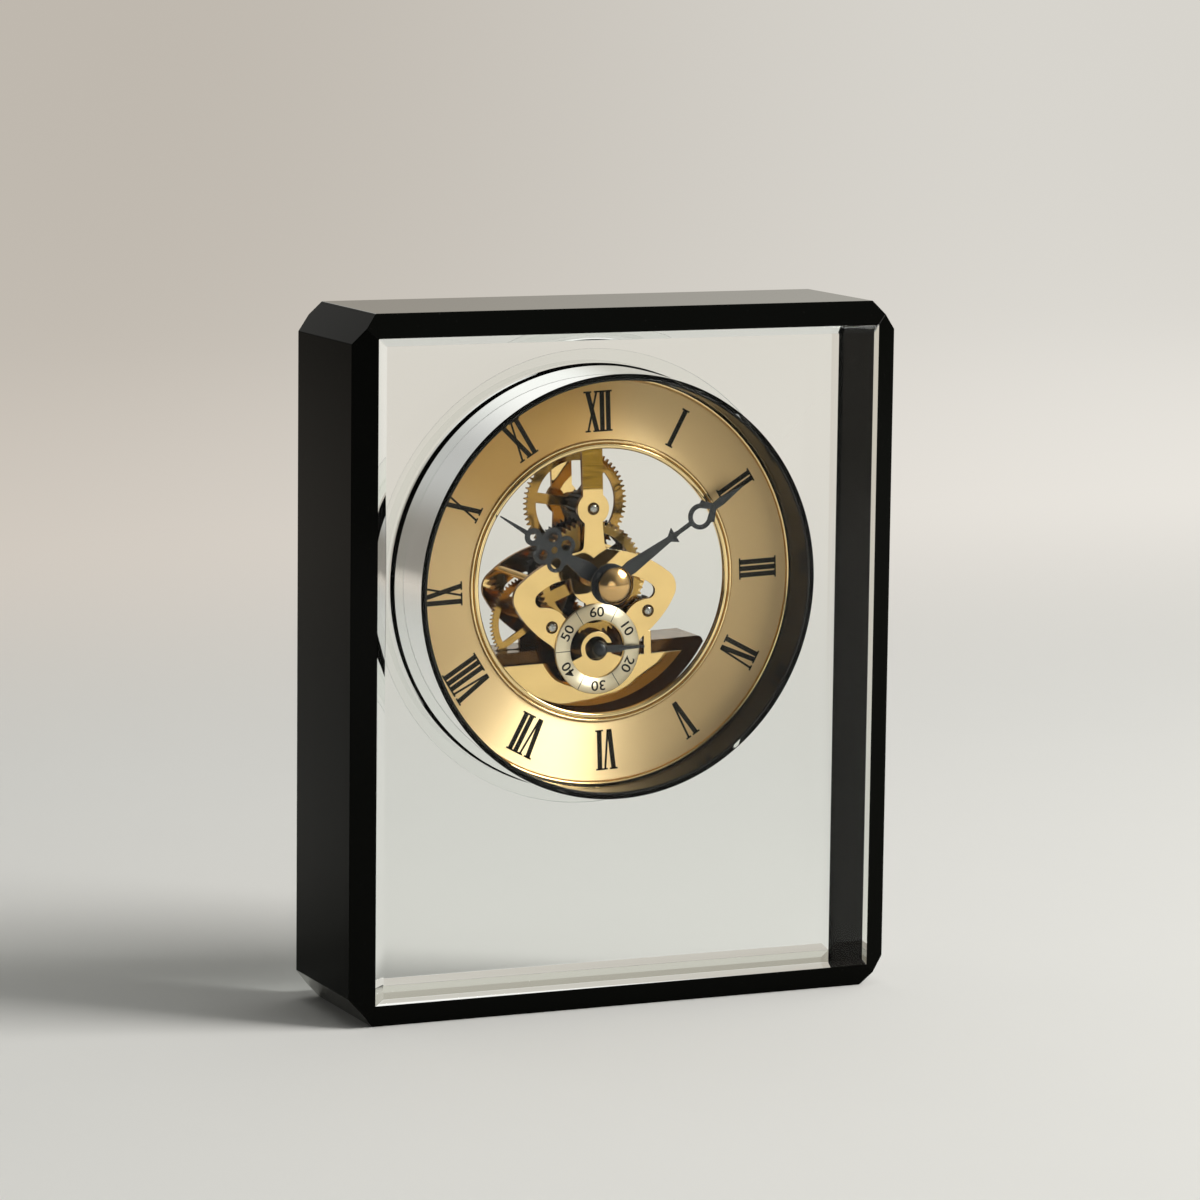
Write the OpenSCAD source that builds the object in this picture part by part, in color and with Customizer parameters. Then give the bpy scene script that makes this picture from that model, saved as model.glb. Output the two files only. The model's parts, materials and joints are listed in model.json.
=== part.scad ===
// Crystal table clock: a clear glass block faced with black glass on four sides,
// with a round skeleton clock insert pushed into a blind bore from behind.
// Frame: +Z up, origin at the middle of the base, the dial looks towards -Y.
// Every insert piece is drawn about the clock axis and then seated in the block.

/* [Glass block] */
// Width over the black side plates
body_w = 125; // [112:1:160]
// Depth of the glass from front to back
body_d = 38; // [37:1:60]
// Height over the black top and bottom plates
body_h = 150; // [146:1:200]
// Thickness of the black glass plates
plate_glass = 5; // [4:0.5:6]
// Width of the polished bevel, seen from the front
bevel_w = 6.5; // [5.5:0.5:9]
// Depth of the polished bevel, front to back
bevel_d = 3.3; // [2:0.1:5]
// Corner cut, measured along the top
corner_x = 5.3; // [4:0.1:8]
// Corner cut, measured down the side
corner_z = 6.2; // [4:0.1:8]

/* [Bore] */
// Distance of the clock axis below the top
clock_drop = 60; // [56:1:80]
// Radius of the blind bore in the back
bore_r = 45.4; // [44:0.1:47]
// Glass left in front of the bore
front_glass = 10.4; // [6:0.1:11]
// Turn of the insert in its bore, anticlockwise from the front
dial_turn = 2.1; // [0:0.1:6]

/* [Case] */
// Space for the rubber grip ring between the case tube and the bore
grip_wall = 0.8; // [0.6:0.05:2]
// Wall of the case tube
case_wall = 0.65; // [0.4:0.05:1]
// Gap from the case edge to the bore floor
case_gap = 0.2; // [0.1:0.1:0.4]
// Reach of the clear flange past the edge of the bore
flange_lap = 3.2; // [2:0.1:6]
// Thickness of the clear flange
flange_t = 1.2; // [0.8:0.1:2]
// Length of the rubber grip ring
grip_len = 3.7; // [2:0.1:6]
// Air left between the grip ring and the bore
grip_gap = 0.05; // [0.02:0.01:0.1]
// Thickness of the clear rear window
window_t = 1.2; // [0.8:0.1:2]

/* [Dial] */
// Depth of the dial behind the case edge
dial_depth = 9.9; // [9.7:0.1:12]
// Thickness of the dial ring
dial_t = 1.0; // [0.6:0.1:1.5]
// Radius of the opening in the dial
dial_in_r = 28.3; // [26:0.1:30]
// Width of the polished bead at the opening
bead_w = 1.9; // [1:0.1:2.5]
// Height of the polished beads
bead_h = 0.5; // [0.2:0.1:1]
// Radius of the seconds dial
sub_r = 9.9; // [8.5:0.1:10]
// Radius of the opening in the seconds dial
sub_in_r = 6.1; // [5:0.05:6.5]
// Thickness of the seconds dial
sub_t = 0.5; // [0.3:0.1:0.8]

/* [Movement plates] */
// Depth of the front plate behind the face of the dial
plate_set = 3.2; // [2.9:0.1:3.6]
// Thickness of the front plate
plate_t = 1.0; // [0.8:0.1:1.2]
// Clear space between front and rear plates
plate_gap = 15; // [14.5:0.1:17]
// Thickness of the rear plate
rear_t = 0.8; // [0.6:0.1:1.2]
// Half width of the upright strap
strap_half = 2.4; // [2:0.1:3]
// Radius of the boss round the top arbor
boss_r = 3.6; // [3:0.1:4]
// Reach of each side lobe from the clock axis
lobe_x = 14.6; // [14:0.1:16]
// Radius of the rounded end of a lobe
lobe_r = 4.15; // [3.8:0.05:4.5]
// Radius of the pillars between the plates
pillar_r = 0.75; // [0.5:0.05:0.8]

/* [Train] */
// Distance of the seconds arbor below the clock axis
seconds_drop = 15; // [14.8:0.1:15.5]
// Distance of the top arbor above the clock axis
top_rise = 15; // [14.8:0.1:15.5]
// Distance of the left arbor from the clock axis
third_reach = 14; // [13.8:0.1:14.3]
// Distance of the left arbor from the seconds arbor
third_side = 11.5; // [11.3:0.1:11.7]
// Direction of the setting arbor, below the horizontal
set_angle = 33.15; // [28:0.5:38]
// Teeth of the cannon pinion
cannon_n = 20; // [18:1:22]
// Teeth of the top wheel
top_n = 64; // [60:1:66]
// Teeth of the pinion on the top wheel
top_pin_n = 16; // [15:1:17]
// Teeth of the hour wheel
hour_n = 60; // [58:1:60]
// Teeth of the pinion on the seconds arbor
second_pin_n = 10; // [10:1:11]
// Teeth of the third wheel
third_n = 75; // [72:1:76]
// Teeth of the pinion on the third wheel
third_pin_n = 10; // [10:1:11]
// Teeth of the centre wheel
centre_n = 80; // [78:1:80]
// Teeth of the setting pinion
set_pin_n = 13; // [12:1:14]
// Thickness of the brass wheels
wheel_t = 0.6; // [0.4:0.1:0.7]
// Radius of the clock's centre arbor
arbor_r = 0.9; // [0.7:0.05:1]
// Radius of the thin arbors
pivot_r = 0.5; // [0.4:0.05:0.6]
// Running clearance of an arbor in its hole
run_gap = 0.05; // [0.02:0.01:0.08]

/* [Hands] */
// Length of the minute hand from the axis
minute_len = 36.8; // [34:0.1:38]
// Length of the hour hand from the axis
hour_len = 28.6; // [27:0.1:30]
// Length of the seconds hand from its axis
second_len = 10.4; // [9:0.1:11]
// Thickness of the hands
hand_t = 0.4; // [0.3:0.05:0.5]
// Radius of the domed gilt cap
cap_r = 3.95; // [3.4:0.05:4.3]
// Minute hand at rest, clockwise from twelve
minute_at = 59.5; // [0:0.5:360]
// Hour hand at rest, clockwise from twelve
hour_at = 304; // [0:0.5:360]
// Seconds hand at rest, clockwise from sixty
second_at = 91; // [0:0.5:360]

/* [Motor base] */
// Depth of the gilt base plate behind the front plate's face
base_set = 3.8; // [3.6:0.1:4]
// Thickness of the gilt base plate
base_t = 1.0; // [0.6:0.1:1.2]
// Radius of the gilt base plate
base_r = 28; // [26:0.1:28.2]
// Drop of the gilt plate's straight edge below the axis
base_drop = 17.75; // [17.2:0.05:18.2]
// Radius of the motor housing
housing_r = 31.6; // [31.2:0.1:34]
// Drop of the housing's top below the axis
housing_drop = 15.15; // [15.05:0.05:15.4]
// Wall of the motor housing
housing_wall = 1.0; // [0.8:0.1:1.1]
// Thickness of the housing's rear lid
lid_t = 1.0; // [0.8:0.1:1.2]
// Distance of the motor wheel's arbor from the seconds arbor
motor_reach = 7.2; // [7.2:0.1:7.6]
// Distance of the rotor from the motor wheel's arbor
rotor_reach = 5.6; // [5.6:0.1:5.9]
// Radius of the button cell
cell_r = 5.8; // [5.8:0.1:5.8]
// Height of the button cell
cell_t = 5.4; // [5.4:0.1:5.4]
// Radius of the battery hatch
hatch_r = 7.4; // [7:0.1:8]
// Radius of the setting knob
knob_r = 4.2; // [3.5:0.1:5]
// Height of the setting knob
knob_t = 3.3; // [2.5:0.1:4.5]

/* [Hidden] */

big = 400;
round_fn = 96;
small_fn = 32;

// Depth stations, front to back
front_y = -body_d / 2;
back_y = body_d / 2;
clock_z = body_h - clock_drop;
floor_y = front_y + front_glass;
case_y = floor_y + case_gap;
dial_y = case_y + dial_depth;
plate_y = dial_y + plate_set;
train_y = plate_y + plate_t;
rear_y = train_y + plate_gap;
rear_back = rear_y + rear_t;
window_gap = 0.6;
lip_t = 0.6;
window_y = max(rear_back + window_gap, back_y + 0.2);
case_r = bore_r - grip_wall;
case_in = case_r - case_wall;
flange_r = bore_r + flange_lap;
rear_lip_y = max(window_y + window_t, back_y + flange_t + 0.6);

// Heights of the wheels above the back of the front plate
hour_y = train_y + 0.8;
hour_t = 2.4;
top_pin_y = train_y + 0.6;
top_pin_t = 5.3;
centre_y = train_y + 6.2;
third_pin_y = train_y + 6.0;
third_pin_t = 1.1;
third_y = train_y + 7.2;
second_pin_t = 1.1;
top_y = train_y + 8.2;
top_t = 0.8;
cannon_t = 1.0;

// Pipe of the hour wheel, and the thin arbors of the motor
pipe_r = arbor_r + 1;
motor_pivot = pivot_r * 0.6;

// Arbor places, as [x, z] from the clock axis
axis_at = [0, 0];
seconds_at = [0, -seconds_drop];
top_at = [0, top_rise];
third_drop = (third_reach * third_reach - third_side * third_side
    + seconds_drop * seconds_drop) / (2 * seconds_drop);
third_at = [-sqrt(third_reach * third_reach - third_drop * third_drop), -third_drop];

// Tooth modules, each from the distance between its two arbors
cannon_m = 2 * top_rise / (cannon_n + top_n);
hour_m = 2 * top_rise / (top_pin_n + hour_n);
third_m = 2 * third_side / (second_pin_n + third_n);
centre_m = 2 * third_reach / (third_pin_n + centre_n);
set_reach = hour_m * (set_pin_n + hour_n) / 2;
set_at = [set_reach * cos(set_angle), -set_reach * sin(set_angle)];

// Motor train inside the base
motor_pin_n = 12;
second_n = 60;
motor_m = 2 * motor_reach / (second_n + motor_pin_n);
motor_angle = 243;
motor_at = seconds_at + motor_reach * [cos(motor_angle), sin(motor_angle)];
rotor_n = 10;
motor_n = 60;
rotor_m = 2 * rotor_reach / (rotor_n + motor_n);
rotor_angle = 191;
rotor_at = motor_at + rotor_reach * [cos(rotor_angle), sin(rotor_angle)];

// Base stations
base_y = plate_y + base_set;
housing_y = base_y + base_t;
lid_y = rear_y - lid_t;
inside_y = housing_y + housing_wall;
second_y = housing_y + 1.2;
hump_t = 2.0;
hump_r = second_n * motor_m / 2 + 2;
slot_gap = 0.5;
cell_gap = 0.2;
cup_wall = 0.45;
hatch_y = rear_back + 0.2;
hatch_t = window_y + window_t + 0.6 - hatch_y;
cell_y = hatch_y - 0.4 - cell_t;
cell_drop = housing_drop + housing_wall + cup_wall + cell_gap + cell_r + 0.1;
cell_at = [6, -cell_drop];
cup_y = cell_y - 0.4;
board_t = 0.6;
board_y = cup_y - 0.6 - board_t;
board_posts = [[4.5, -24.8], [21.5, -19.5]];

// Tooth shape as shares of one pitch and of the module
tooth_root = 0.32;
tooth_tip = 0.10;
addendum = 0.9;
dedendum = 1.25;

function tip_r(n, m) = m * (n / 2 + addendum);
function root_r(n, m) = m * (n / 2 - dedendum);
function polar(r, a) = [r * cos(a), r * sin(a)];
function arc(c, r, a0, a1, steps) = [for (i = [0:steps]) c + polar(r, a0 + (a1 - a0) * i / steps)];
function curve(p, q, s, steps) = [
    for (i = [1:steps])
        let (t = i / steps) (1 - t) * (1 - t) * p + 2 * t * (1 - t) * q + t * t * s
];
// Turn of gear b, so that it meshes with gear a turned by turn_a, with b in direction aim
function mesh_turn(aim, turn_a, n_a, n_b) =
    aim + 180 - 360 / n_b * (0.5 - (aim - turn_a) * n_a / 360);
function aim(a, b) = atan2(b[1] - a[1], b[0] - a[0]);
// A closed outline from its right half, listed from the top down
function both_sides(half) = concat(
    [for (p = half) [-p[0], p[1]]],
    [for (i = [len(half) - 1:-1:0]) half[i]]
);

// Rest turns of the meshed wheels
top_turn = mesh_turn(90, 0, cannon_n, top_n);
hour_turn = mesh_turn(-90, 0, top_pin_n, hour_n);
set_turn = mesh_turn(aim(axis_at, set_at), hour_turn, hour_n, set_pin_n);
third_turn = mesh_turn(aim(seconds_at, third_at), 0, second_pin_n, third_n);
centre_turn = mesh_turn(aim(third_at, axis_at), 0, third_pin_n, centre_n);
motor_turn = mesh_turn(aim(seconds_at, motor_at), 0, second_n, motor_pin_n);
rotor_turn = mesh_turn(aim(motor_at, rotor_at), 0, motor_n, rotor_n);

module seat_insert() {
    translate([0, 0, clock_z]) rotate([0, -dial_turn, 0]) children();
}

// A flat shape in x and z, from y to y + t
module slab(y, t) {
    translate([0, y + t, 0]) rotate([90, 0, 0]) linear_extrude(t) children();
}

// A profile of [radius, y] points turned about the y axis
module spun(points) {
    rotate([-90, 0, 0]) rotate_extrude($fn = round_fn) polygon(points);
}

module rod(at, r, y, t, fn = small_fn) {
    translate([at[0], y + t, at[1]]) rotate([90, 0, 0]) cylinder(h = t, r = r, $fn = fn);
}

module gear(n, m) {
    pitch = 360 / n;
    polygon([
        for (i = [0:n - 1])
            for (p = [[root_r(n, m), -tooth_root], [tip_r(n, m), -tooth_tip],
                      [tip_r(n, m), tooth_tip], [root_r(n, m), tooth_root]])
                polar(p[0], (i + p[1]) * pitch)
    ]);
}

// Openings between the spokes of a wheel
module windows(r_in, r_out, spokes, first, spoke_w) {
    difference() {
        circle(r_out, $fn = round_fn);
        circle(r_in, $fn = small_fn);
        for (i = [0:spokes - 1])
            rotate(first + i * 360 / spokes) translate([0, -spoke_w / 2]) square([r_out + 1, spoke_w]);
    }
}

// Outer form of the glass: bevelled front and back, with cut corners
module glass_form() {
    w = body_w / 2;
    d = body_d / 2;
    intersection() {
        linear_extrude(body_h)
            polygon([for (s = [[1, 1], [-1, 1], [-1, -1], [1, -1]])
                for (p = s[0] * s[1] > 0
                    ? [[w, d - bevel_d], [w - bevel_w, d]]
                    : [[w - bevel_w, d], [w, d - bevel_d]]) [s[0] * p[0], s[1] * p[1]]]);
        rotate([90, 0, 90]) linear_extrude(body_w + 2, center = true)
            polygon([
                [-d + bevel_d, 0], [d - bevel_d, 0], [d, bevel_w], [d, body_h - bevel_w],
                [d - bevel_d, body_h], [-d + bevel_d, body_h], [-d, body_h - bevel_w], [-d, bevel_w]
            ]);
        slab(-d - 1, body_d + 2)
            polygon([
                [-w + corner_x, 0], [w - corner_x, 0], [w, corner_z], [w, body_h - corner_z],
                [w - corner_x, body_h], [-w + corner_x, body_h], [-w, body_h - corner_z], [-w, corner_z]
            ]);
    }
}

// A part of the glass between two corners
module glass_part(low_x, high_x, low_z, high_z) {
    intersection() {
        glass_form();
        translate([low_x, -big / 2, low_z]) cube([high_x - low_x, big, high_z - low_z]);
    }
}

module crystal_block() {
    side = body_w / 2 - plate_glass;
    color([0.86, 0.93, 0.9, 0.3]) difference() {
        glass_part(-side, side, plate_glass, body_h - plate_glass);
        translate([0, big + floor_y, clock_z]) rotate([90, 0, 0]) cylinder(h = big, r = bore_r, $fn = round_fn);
    }
}

module left_plate() {
    color([0.03, 0.03, 0.03]) glass_part(-big, -body_w / 2 + plate_glass, -1, body_h + 1);
}

module right_plate() {
    color([0.03, 0.03, 0.03]) glass_part(body_w / 2 - plate_glass, big, -1, body_h + 1);
}

module top_plate() {
    side = body_w / 2 - plate_glass;
    color([0.03, 0.03, 0.03]) glass_part(-side, side, body_h - plate_glass, body_h + 1);
}

module bottom_plate() {
    side = body_w / 2 - plate_glass;
    color([0.03, 0.03, 0.03]) glass_part(-side, side, -1, plate_glass);
}

module case_tube() {
    color([0.06, 0.055, 0.05]) seat_insert() spun([
        [case_in, case_y], [case_r, case_y], [case_r, back_y], [case_in, back_y]
    ]);
}

// Clear ring on the back of the block: flange, collar and the lip behind the window
module rear_flange() {
    collar = case_r + 1.1;
    step = back_y + flange_t;
    last = rear_lip_y + lip_t;
    edge = 0.4;
    color([0.9, 0.94, 0.95, 0.3]) seat_insert() spun([
        [case_in, back_y], [flange_r, back_y], [flange_r, step - edge], [flange_r - edge, step],
        [collar, step], [collar, last - edge], [collar - edge, last],
        [case_in - 1.2, last], [case_in - 1.2, rear_lip_y], [case_in, rear_lip_y]
    ]);
}

module grip_ring() {
    inner = case_r + run_gap;
    outer = bore_r - grip_gap;
    last = back_y - 0.1;
    first = last - grip_len;
    step = grip_len / 6;
    rib = (outer - inner) / 2;
    color([0.05, 0.05, 0.05]) seat_insert() spun(concat(
        [[inner, last], [inner, first]],
        [for (i = [0:5]) [i % 2 == 0 ? outer - rib : outer, first + (i + 0.5) * step]],
        [[outer - rib, last]]
    ));
}

module rear_window() {
    color([0.9, 0.94, 0.95, 0.3]) seat_insert() difference() {
        slab(window_y, window_t) circle(case_in - run_gap, $fn = round_fn);
        rod(set_at, pivot_r + 0.8, window_y - 1, window_t + 2);
        rod(cell_at, hatch_r + 0.2, window_y - 1, window_t + 2, round_fn);
    }
}

module dial_ring() {
    outer = case_in - run_gap;
    back = dial_y + dial_t;
    top = dial_y - bead_h;
    color([0.84, 0.7, 0.42]) seat_insert() spun(concat(
        [[dial_in_r, back], [dial_in_r, dial_y - bead_h / 2]],
        arc([dial_in_r + bead_w / 2, dial_y], bead_w / 2, 200, 340, 8),
        [[dial_in_r + bead_w, dial_y], [outer - bead_w / 2, dial_y], [outer - bead_w / 3, top], [outer, top]],
        [[outer, back]]
    ));
}

module sub_dial() {
    color([0.9, 0.83, 0.66]) seat_insert() slab(plate_y - sub_t, sub_t) translate(seconds_at) difference() {
        circle(sub_r, $fn = round_fn);
        circle(sub_in_r, $fn = round_fn);
    }
}

// Posts that carry the dial on the rear window, hidden behind the dial ring
module dial_posts() {
    post_r = 1.5;
    post_reach = (dial_in_r + case_r) / 2 + 3.5;
    back = dial_y + dial_t;
    color([0.2, 0.17, 0.12]) seat_insert() {
        for (a = [90, 210, 330]) rod(polar(post_reach, a), post_r, back, window_y - back);
        rod([0, strap_top - 1.6], 1.2, back, plate_y - back);
    }
}

// Half of the lobed outline, from the strap's foot round to the seconds disc
lobe_z = -3.1;
lobe_from = 57;
lobe_to = -32;
strap_top = 33;
foot_z = 6.1;
neck_z = top_rise - boss_r + 0.3;
lobe_c = [lobe_x, lobe_z];
half_outline = concat(
    [[strap_half, strap_top], [strap_half - 0.1, top_rise + boss_r - 0.8]],
    [[strap_half - 0.35, neck_z], [strap_half, foot_z + 1.1], [strap_half + 0.25, foot_z + 0.4]],
    [[strap_half + 0.9, foot_z]],
    curve([strap_half + 0.9, foot_z], [lobe_x - 3.1, foot_z - 1.2], lobe_c + polar(lobe_r, lobe_from), 8),
    arc(lobe_c, lobe_r, lobe_from, lobe_to, 12),
    curve(lobe_c + polar(lobe_r, lobe_to), [lobe_x + 1.3, lobe_z - 6.5], [10.6, 1.6 - seconds_drop], 8),
    [[8.2, -1 - seconds_drop]]
);

// Horn-shaped opening between the hub and the lobe
horn_r = 1.68;
horn_c = [lobe_x - 2.45, lobe_z - 0.5];
horn = concat(
    [[2.6, 0.6], [6.6, 0.35]],
    curve([6.6, 0.35], [lobe_x - 4.4, 0], horn_c + polar(horn_r, 60), 8),
    arc(horn_c, horn_r, 60, -78, 12),
    curve(horn_c + polar(horn_r, -78), [lobe_x - 5.4, lobe_z - 2.1], [7.3, 7.4 - seconds_drop], 8),
    [[5.4, 5 - seconds_drop], [2, 4.2 - seconds_drop]]
);
hub_r = 5.6;

module lobed_outline() {
    disc_r = sub_r - 0.5;
    difference() {
        union() {
            polygon(both_sides(half_outline));
            translate(top_at) circle(boss_r, $fn = round_fn);
            translate(seconds_at) circle(disc_r, $fn = round_fn);
        }
        for (side = [0, 1]) mirror([side, 0]) difference() {
            polygon(horn);
            circle(hub_r, $fn = round_fn);
            translate(seconds_at) circle(sub_in_r + 1.4, $fn = round_fn);
        }
    }
}

// C-shaped recess over the seconds arbor
module recess() {
    open_to = 22;
    difference() {
        circle(sub_in_r, $fn = round_fn);
        circle(boss_r, $fn = round_fn);
        polygon([[0, 0], polar(2 * sub_r, -open_to), [sub_r, -2 * sub_r],
                 [-sub_r, -2 * sub_r], polar(2 * sub_r, 180 + open_to)]);
    }
}

module front_plate() {
    pipe_hole = pipe_r + run_gap;
    seconds_hole = 2.6;
    color([0.86, 0.7, 0.36]) seat_insert() difference() {
        slab(plate_y, plate_t) difference() {
            lobed_outline();
            translate(seconds_at) recess();
        }
        rod(axis_at, pipe_hole, plate_y - 1, plate_t + 2);
        rod(seconds_at, seconds_hole, plate_y - 1, plate_t + 2);
        for (at = [top_at, third_at, set_at])
            rod(at, pivot_r + run_gap, plate_y - 1, plate_t + 2);
    }
}

leg_w = 3.3;
leg_x = [-8.95, 14.9];
leg_z = -housing_drop - 3.2;

module rear_plate() {
    cell_hole = cell_r + cell_gap + cup_wall;
    color([0.16, 0.11, 0.07]) seat_insert() difference() {
        slab(rear_y, rear_t) {
            lobed_outline();
            for (x = leg_x) translate([x - leg_w / 2, leg_z]) square([leg_w, -leg_z - 8]);
        }
        rod(axis_at, arbor_r + run_gap, rear_y - 1, rear_t + 2);
        rod(cell_at, cell_hole, rear_y - 1, rear_t + 2, round_fn);
        rod(seconds_at, pivot_r + run_gap, rear_y - 1, rear_t + 2);
        for (at = [top_at, third_at, set_at])
            rod(at, pivot_r + run_gap, rear_y - 1, rear_t + 2);
    }
}

module plate_pillars() {
    color([0.75, 0.6, 0.32]) seat_insert() {
        for (x = [-lobe_x, lobe_x]) rod([x, 1], pillar_r, train_y, plate_gap);
        rod([0, strap_top - 2.6], 1.0, train_y, plate_gap);
    }
}

// Polished caps over the ends of three arbors
module bearing_caps() {
    cap_rim = 1.35;
    cap_h = 0.5;
    color([0.75, 0.76, 0.78]) seat_insert()
        for (at = [top_at, third_at, set_at]) translate([at[0], 0, at[1]]) rotate([-90, 0, 0])
            rotate_extrude($fn = small_fn) polygon([
                [0, plate_y - 0.3], [0.3, plate_y - cap_h], [0.7, plate_y - cap_h], [0.95, plate_y - 0.35],
                [0.95, plate_y - 0.12], [cap_rim, plate_y - 0.12], [cap_rim, plate_y], [0, plate_y]
            ]);
}

module base_plate() {
    tab_x = 12.6;
    tab_w = 1.8;
    tab_rise = 4.9;
    color([0.86, 0.7, 0.38]) seat_insert() slab(base_y, base_t) {
        intersection() {
            circle(base_r, $fn = round_fn);
            translate([-big / 2, -big - base_drop]) square([big, big]);
        }
        translate([tab_x, -base_drop - 0.5]) square([tab_w, tab_rise + 0.5]);
    }
}

// Segment below a level line, with rounded ends to the line
module segment(r, drop, corner) {
    end_x = sqrt((r - corner) * (r - corner) - (drop + corner) * (drop + corner));
    intersection() {
        circle(r, $fn = round_fn);
        translate([-big / 2, -big - drop - corner]) square([big, big]);
    }
    intersection() {
        circle(r, $fn = round_fn);
        translate([-end_x, -r - drop]) square([2 * end_x, r]);
    }
    for (x = [-end_x, end_x]) translate([x, -drop - corner]) circle(corner, $fn = small_fn);
}

module motor_housing() {
    corner = 1.2;
    third_slot = tip_r(third_n, third_m) + slot_gap;
    hump_in = tip_r(second_n, motor_m) + slot_gap;
    pin_slot = tip_r(second_pin_n, third_m) + slot_gap;
    post_r = 0.9;
    color([0.1, 0.07, 0.05]) seat_insert() {
        difference() {
            union() {
                slab(housing_y, lid_y - housing_y) segment(housing_r, housing_drop, corner);
                rod(seconds_at, hump_r, housing_y, hump_t, round_fn);
            }
            slab(inside_y, big) segment(housing_r - housing_wall, housing_drop + housing_wall, corner / 2);
            rod(seconds_at, hump_in, second_y - 0.4, housing_y + hump_t + 0.1 - second_y + 0.4, round_fn);
            rod(seconds_at, pin_slot, second_y - 0.4, third_y + second_pin_t + slot_gap - second_y, round_fn);
            rod(seconds_at, pivot_r + run_gap, housing_y - 1, big);
            rod(third_at, third_slot, third_y - slot_gap, wheel_t + 2 * slot_gap, round_fn);
            for (at = [motor_at, rotor_at]) rod(at, motor_pivot + run_gap, inside_y - 0.5, 1);
        }
        for (at = board_posts) rod(at, post_r, inside_y - 0.1, board_y - inside_y + 0.1);
    }
}

module housing_lid() {
    inner = cell_r + cell_gap;
    corner = 1.2;
    color([0.1, 0.07, 0.05]) seat_insert() difference() {
        union() {
            slab(lid_y, lid_t) segment(housing_r, housing_drop, corner);
            rod(cell_at, inner + cup_wall, cup_y, lid_y + lid_t - cup_y, round_fn);
        }
        rod(cell_at, inner, cup_y - 1, big, round_fn);
        rod(seconds_at, pivot_r + run_gap, lid_y - 1, big);
        for (at = [motor_at, rotor_at]) rod(at, motor_pivot + run_gap, lid_y - 1, big);
    }
}

module circuit_board() {
    edge = 0.2;
    low_z = -26;
    left_x = 2;
    color([0.1, 0.32, 0.16]) seat_insert() slab(board_y, board_t) intersection() {
        segment(housing_r - housing_wall - edge, housing_drop + housing_wall + edge, 1);
        translate([left_x, low_z]) square(housing_r);
    }
}

module quartz_can() {
    can_r = 1;
    can_len = 6;
    color([0.8, 0.8, 0.82]) seat_insert() translate([14, board_y - can_r, -19.5])
        rotate([0, 90, 0]) cylinder(h = can_len, r = can_r, $fn = small_fn);
}

coil_r = 1.7;
coil_len = 10;
coil_at = [rotor_at[0] - 5, rotor_at[1] - 2.2];
stator_y = inside_y + 3.1;
stator_t = 0.5;
core_half = 0.35;
coil_y = stator_y + stator_t + coil_r + 0.35;

// Iron plate round the rotor with two arms out to the core of the coil
module stator() {
    arm_w = 1.6;
    arm_x = [coil_at[0] - 1.8, coil_at[0] + coil_len + 0.2];
    color([0.55, 0.55, 0.57]) seat_insert() {
        slab(stator_y, stator_t) difference() {
            union() {
                translate(rotor_at) circle(2.9, $fn = small_fn);
                translate([arm_x[0], rotor_at[1] - 0.9]) square([arm_x[1] - arm_x[0] + arm_w, 1.2]);
                for (x = arm_x) translate([x, coil_at[1] - 0.8]) square([arm_w, 2.4]);
            }
            translate(rotor_at) circle(2, $fn = small_fn);
        }
        for (x = arm_x) slab(stator_y + stator_t, coil_y - core_half - stator_y - stator_t)
            translate([x, coil_at[1] - 0.8]) square([arm_w, 1.6]);
    }
}

module coil() {
    flange = coil_r + 0.25;
    color([0.6, 0.3, 0.15]) seat_insert() {
        translate([coil_at[0], coil_y, coil_at[1]]) rotate([0, 90, 0])
            rotate_extrude($fn = small_fn) polygon([
                [0, 0], [flange, 0], [flange, 0.5], [coil_r, 0.5], [coil_r, coil_len - 0.5],
                [flange, coil_len - 0.5], [flange, coil_len], [0, coil_len]
            ]);
        slab(coil_y - core_half, 2 * core_half)
            translate([coil_at[0] - 1.8, coil_at[1] - 0.8]) square([coil_len + 3.6, 1.6]);
    }
}

// Two leaf contacts that touch the front and the rim of the cell
module contact_springs() {
    leaf = 0.2;
    color([0.8, 0.7, 0.45]) seat_insert() {
        slab(cell_y - leaf, leaf) translate(cell_at + [-1, -3]) square([2, 6]);
        slab(board_y + board_t, cell_y - leaf - board_y - board_t)
            translate(cell_at + [-1, 2.2]) square([2, 0.3]);
    }
}

module battery_cell() {
    edge = 0.3;
    color([0.78, 0.78, 0.76]) seat_insert() translate([cell_at[0], 0, cell_at[1]]) rotate([-90, 0, 0])
        rotate_extrude($fn = round_fn) polygon([
            [0, cell_y], [cell_r - 1.2, cell_y], [cell_r - 1.2, cell_y + edge], [cell_r, cell_y + 2 * edge],
            [cell_r, cell_y + cell_t - edge], [cell_r - edge, cell_y + cell_t], [0, cell_y + cell_t]
        ]);
}

module battery_hatch() {
    rim = 0.8;
    slot_w = 1.6;
    color([0.09, 0.09, 0.09]) seat_insert() difference() {
        union() {
            rod(cell_at, cell_r, hatch_y, hatch_t, round_fn);
            rod(cell_at, hatch_r, hatch_y + rim, hatch_t - rim, round_fn);
        }
        translate([cell_at[0] - hatch_r + 2, hatch_y + hatch_t - 0.8, cell_at[1] - slot_w / 2])
            cube([2 * hatch_r - 4, 2, slot_w]);
    }
}

// Hand stations in front of the dial
hour_hand_y = dial_y - 2.6;
minute_hand_y = hour_hand_y - 1.5;
collar_t = 0.8;
cap_y = minute_hand_y - 3.3;

module centre_arbor() {
    color([0.8, 0.66, 0.36]) seat_insert() {
        rod(axis_at, arbor_r, cap_y - 0.4, rear_back - cap_y + 0.4);
        slab(top_y - 0.1, cannon_t) gear(cannon_n, cannon_m);
    }
}

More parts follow.
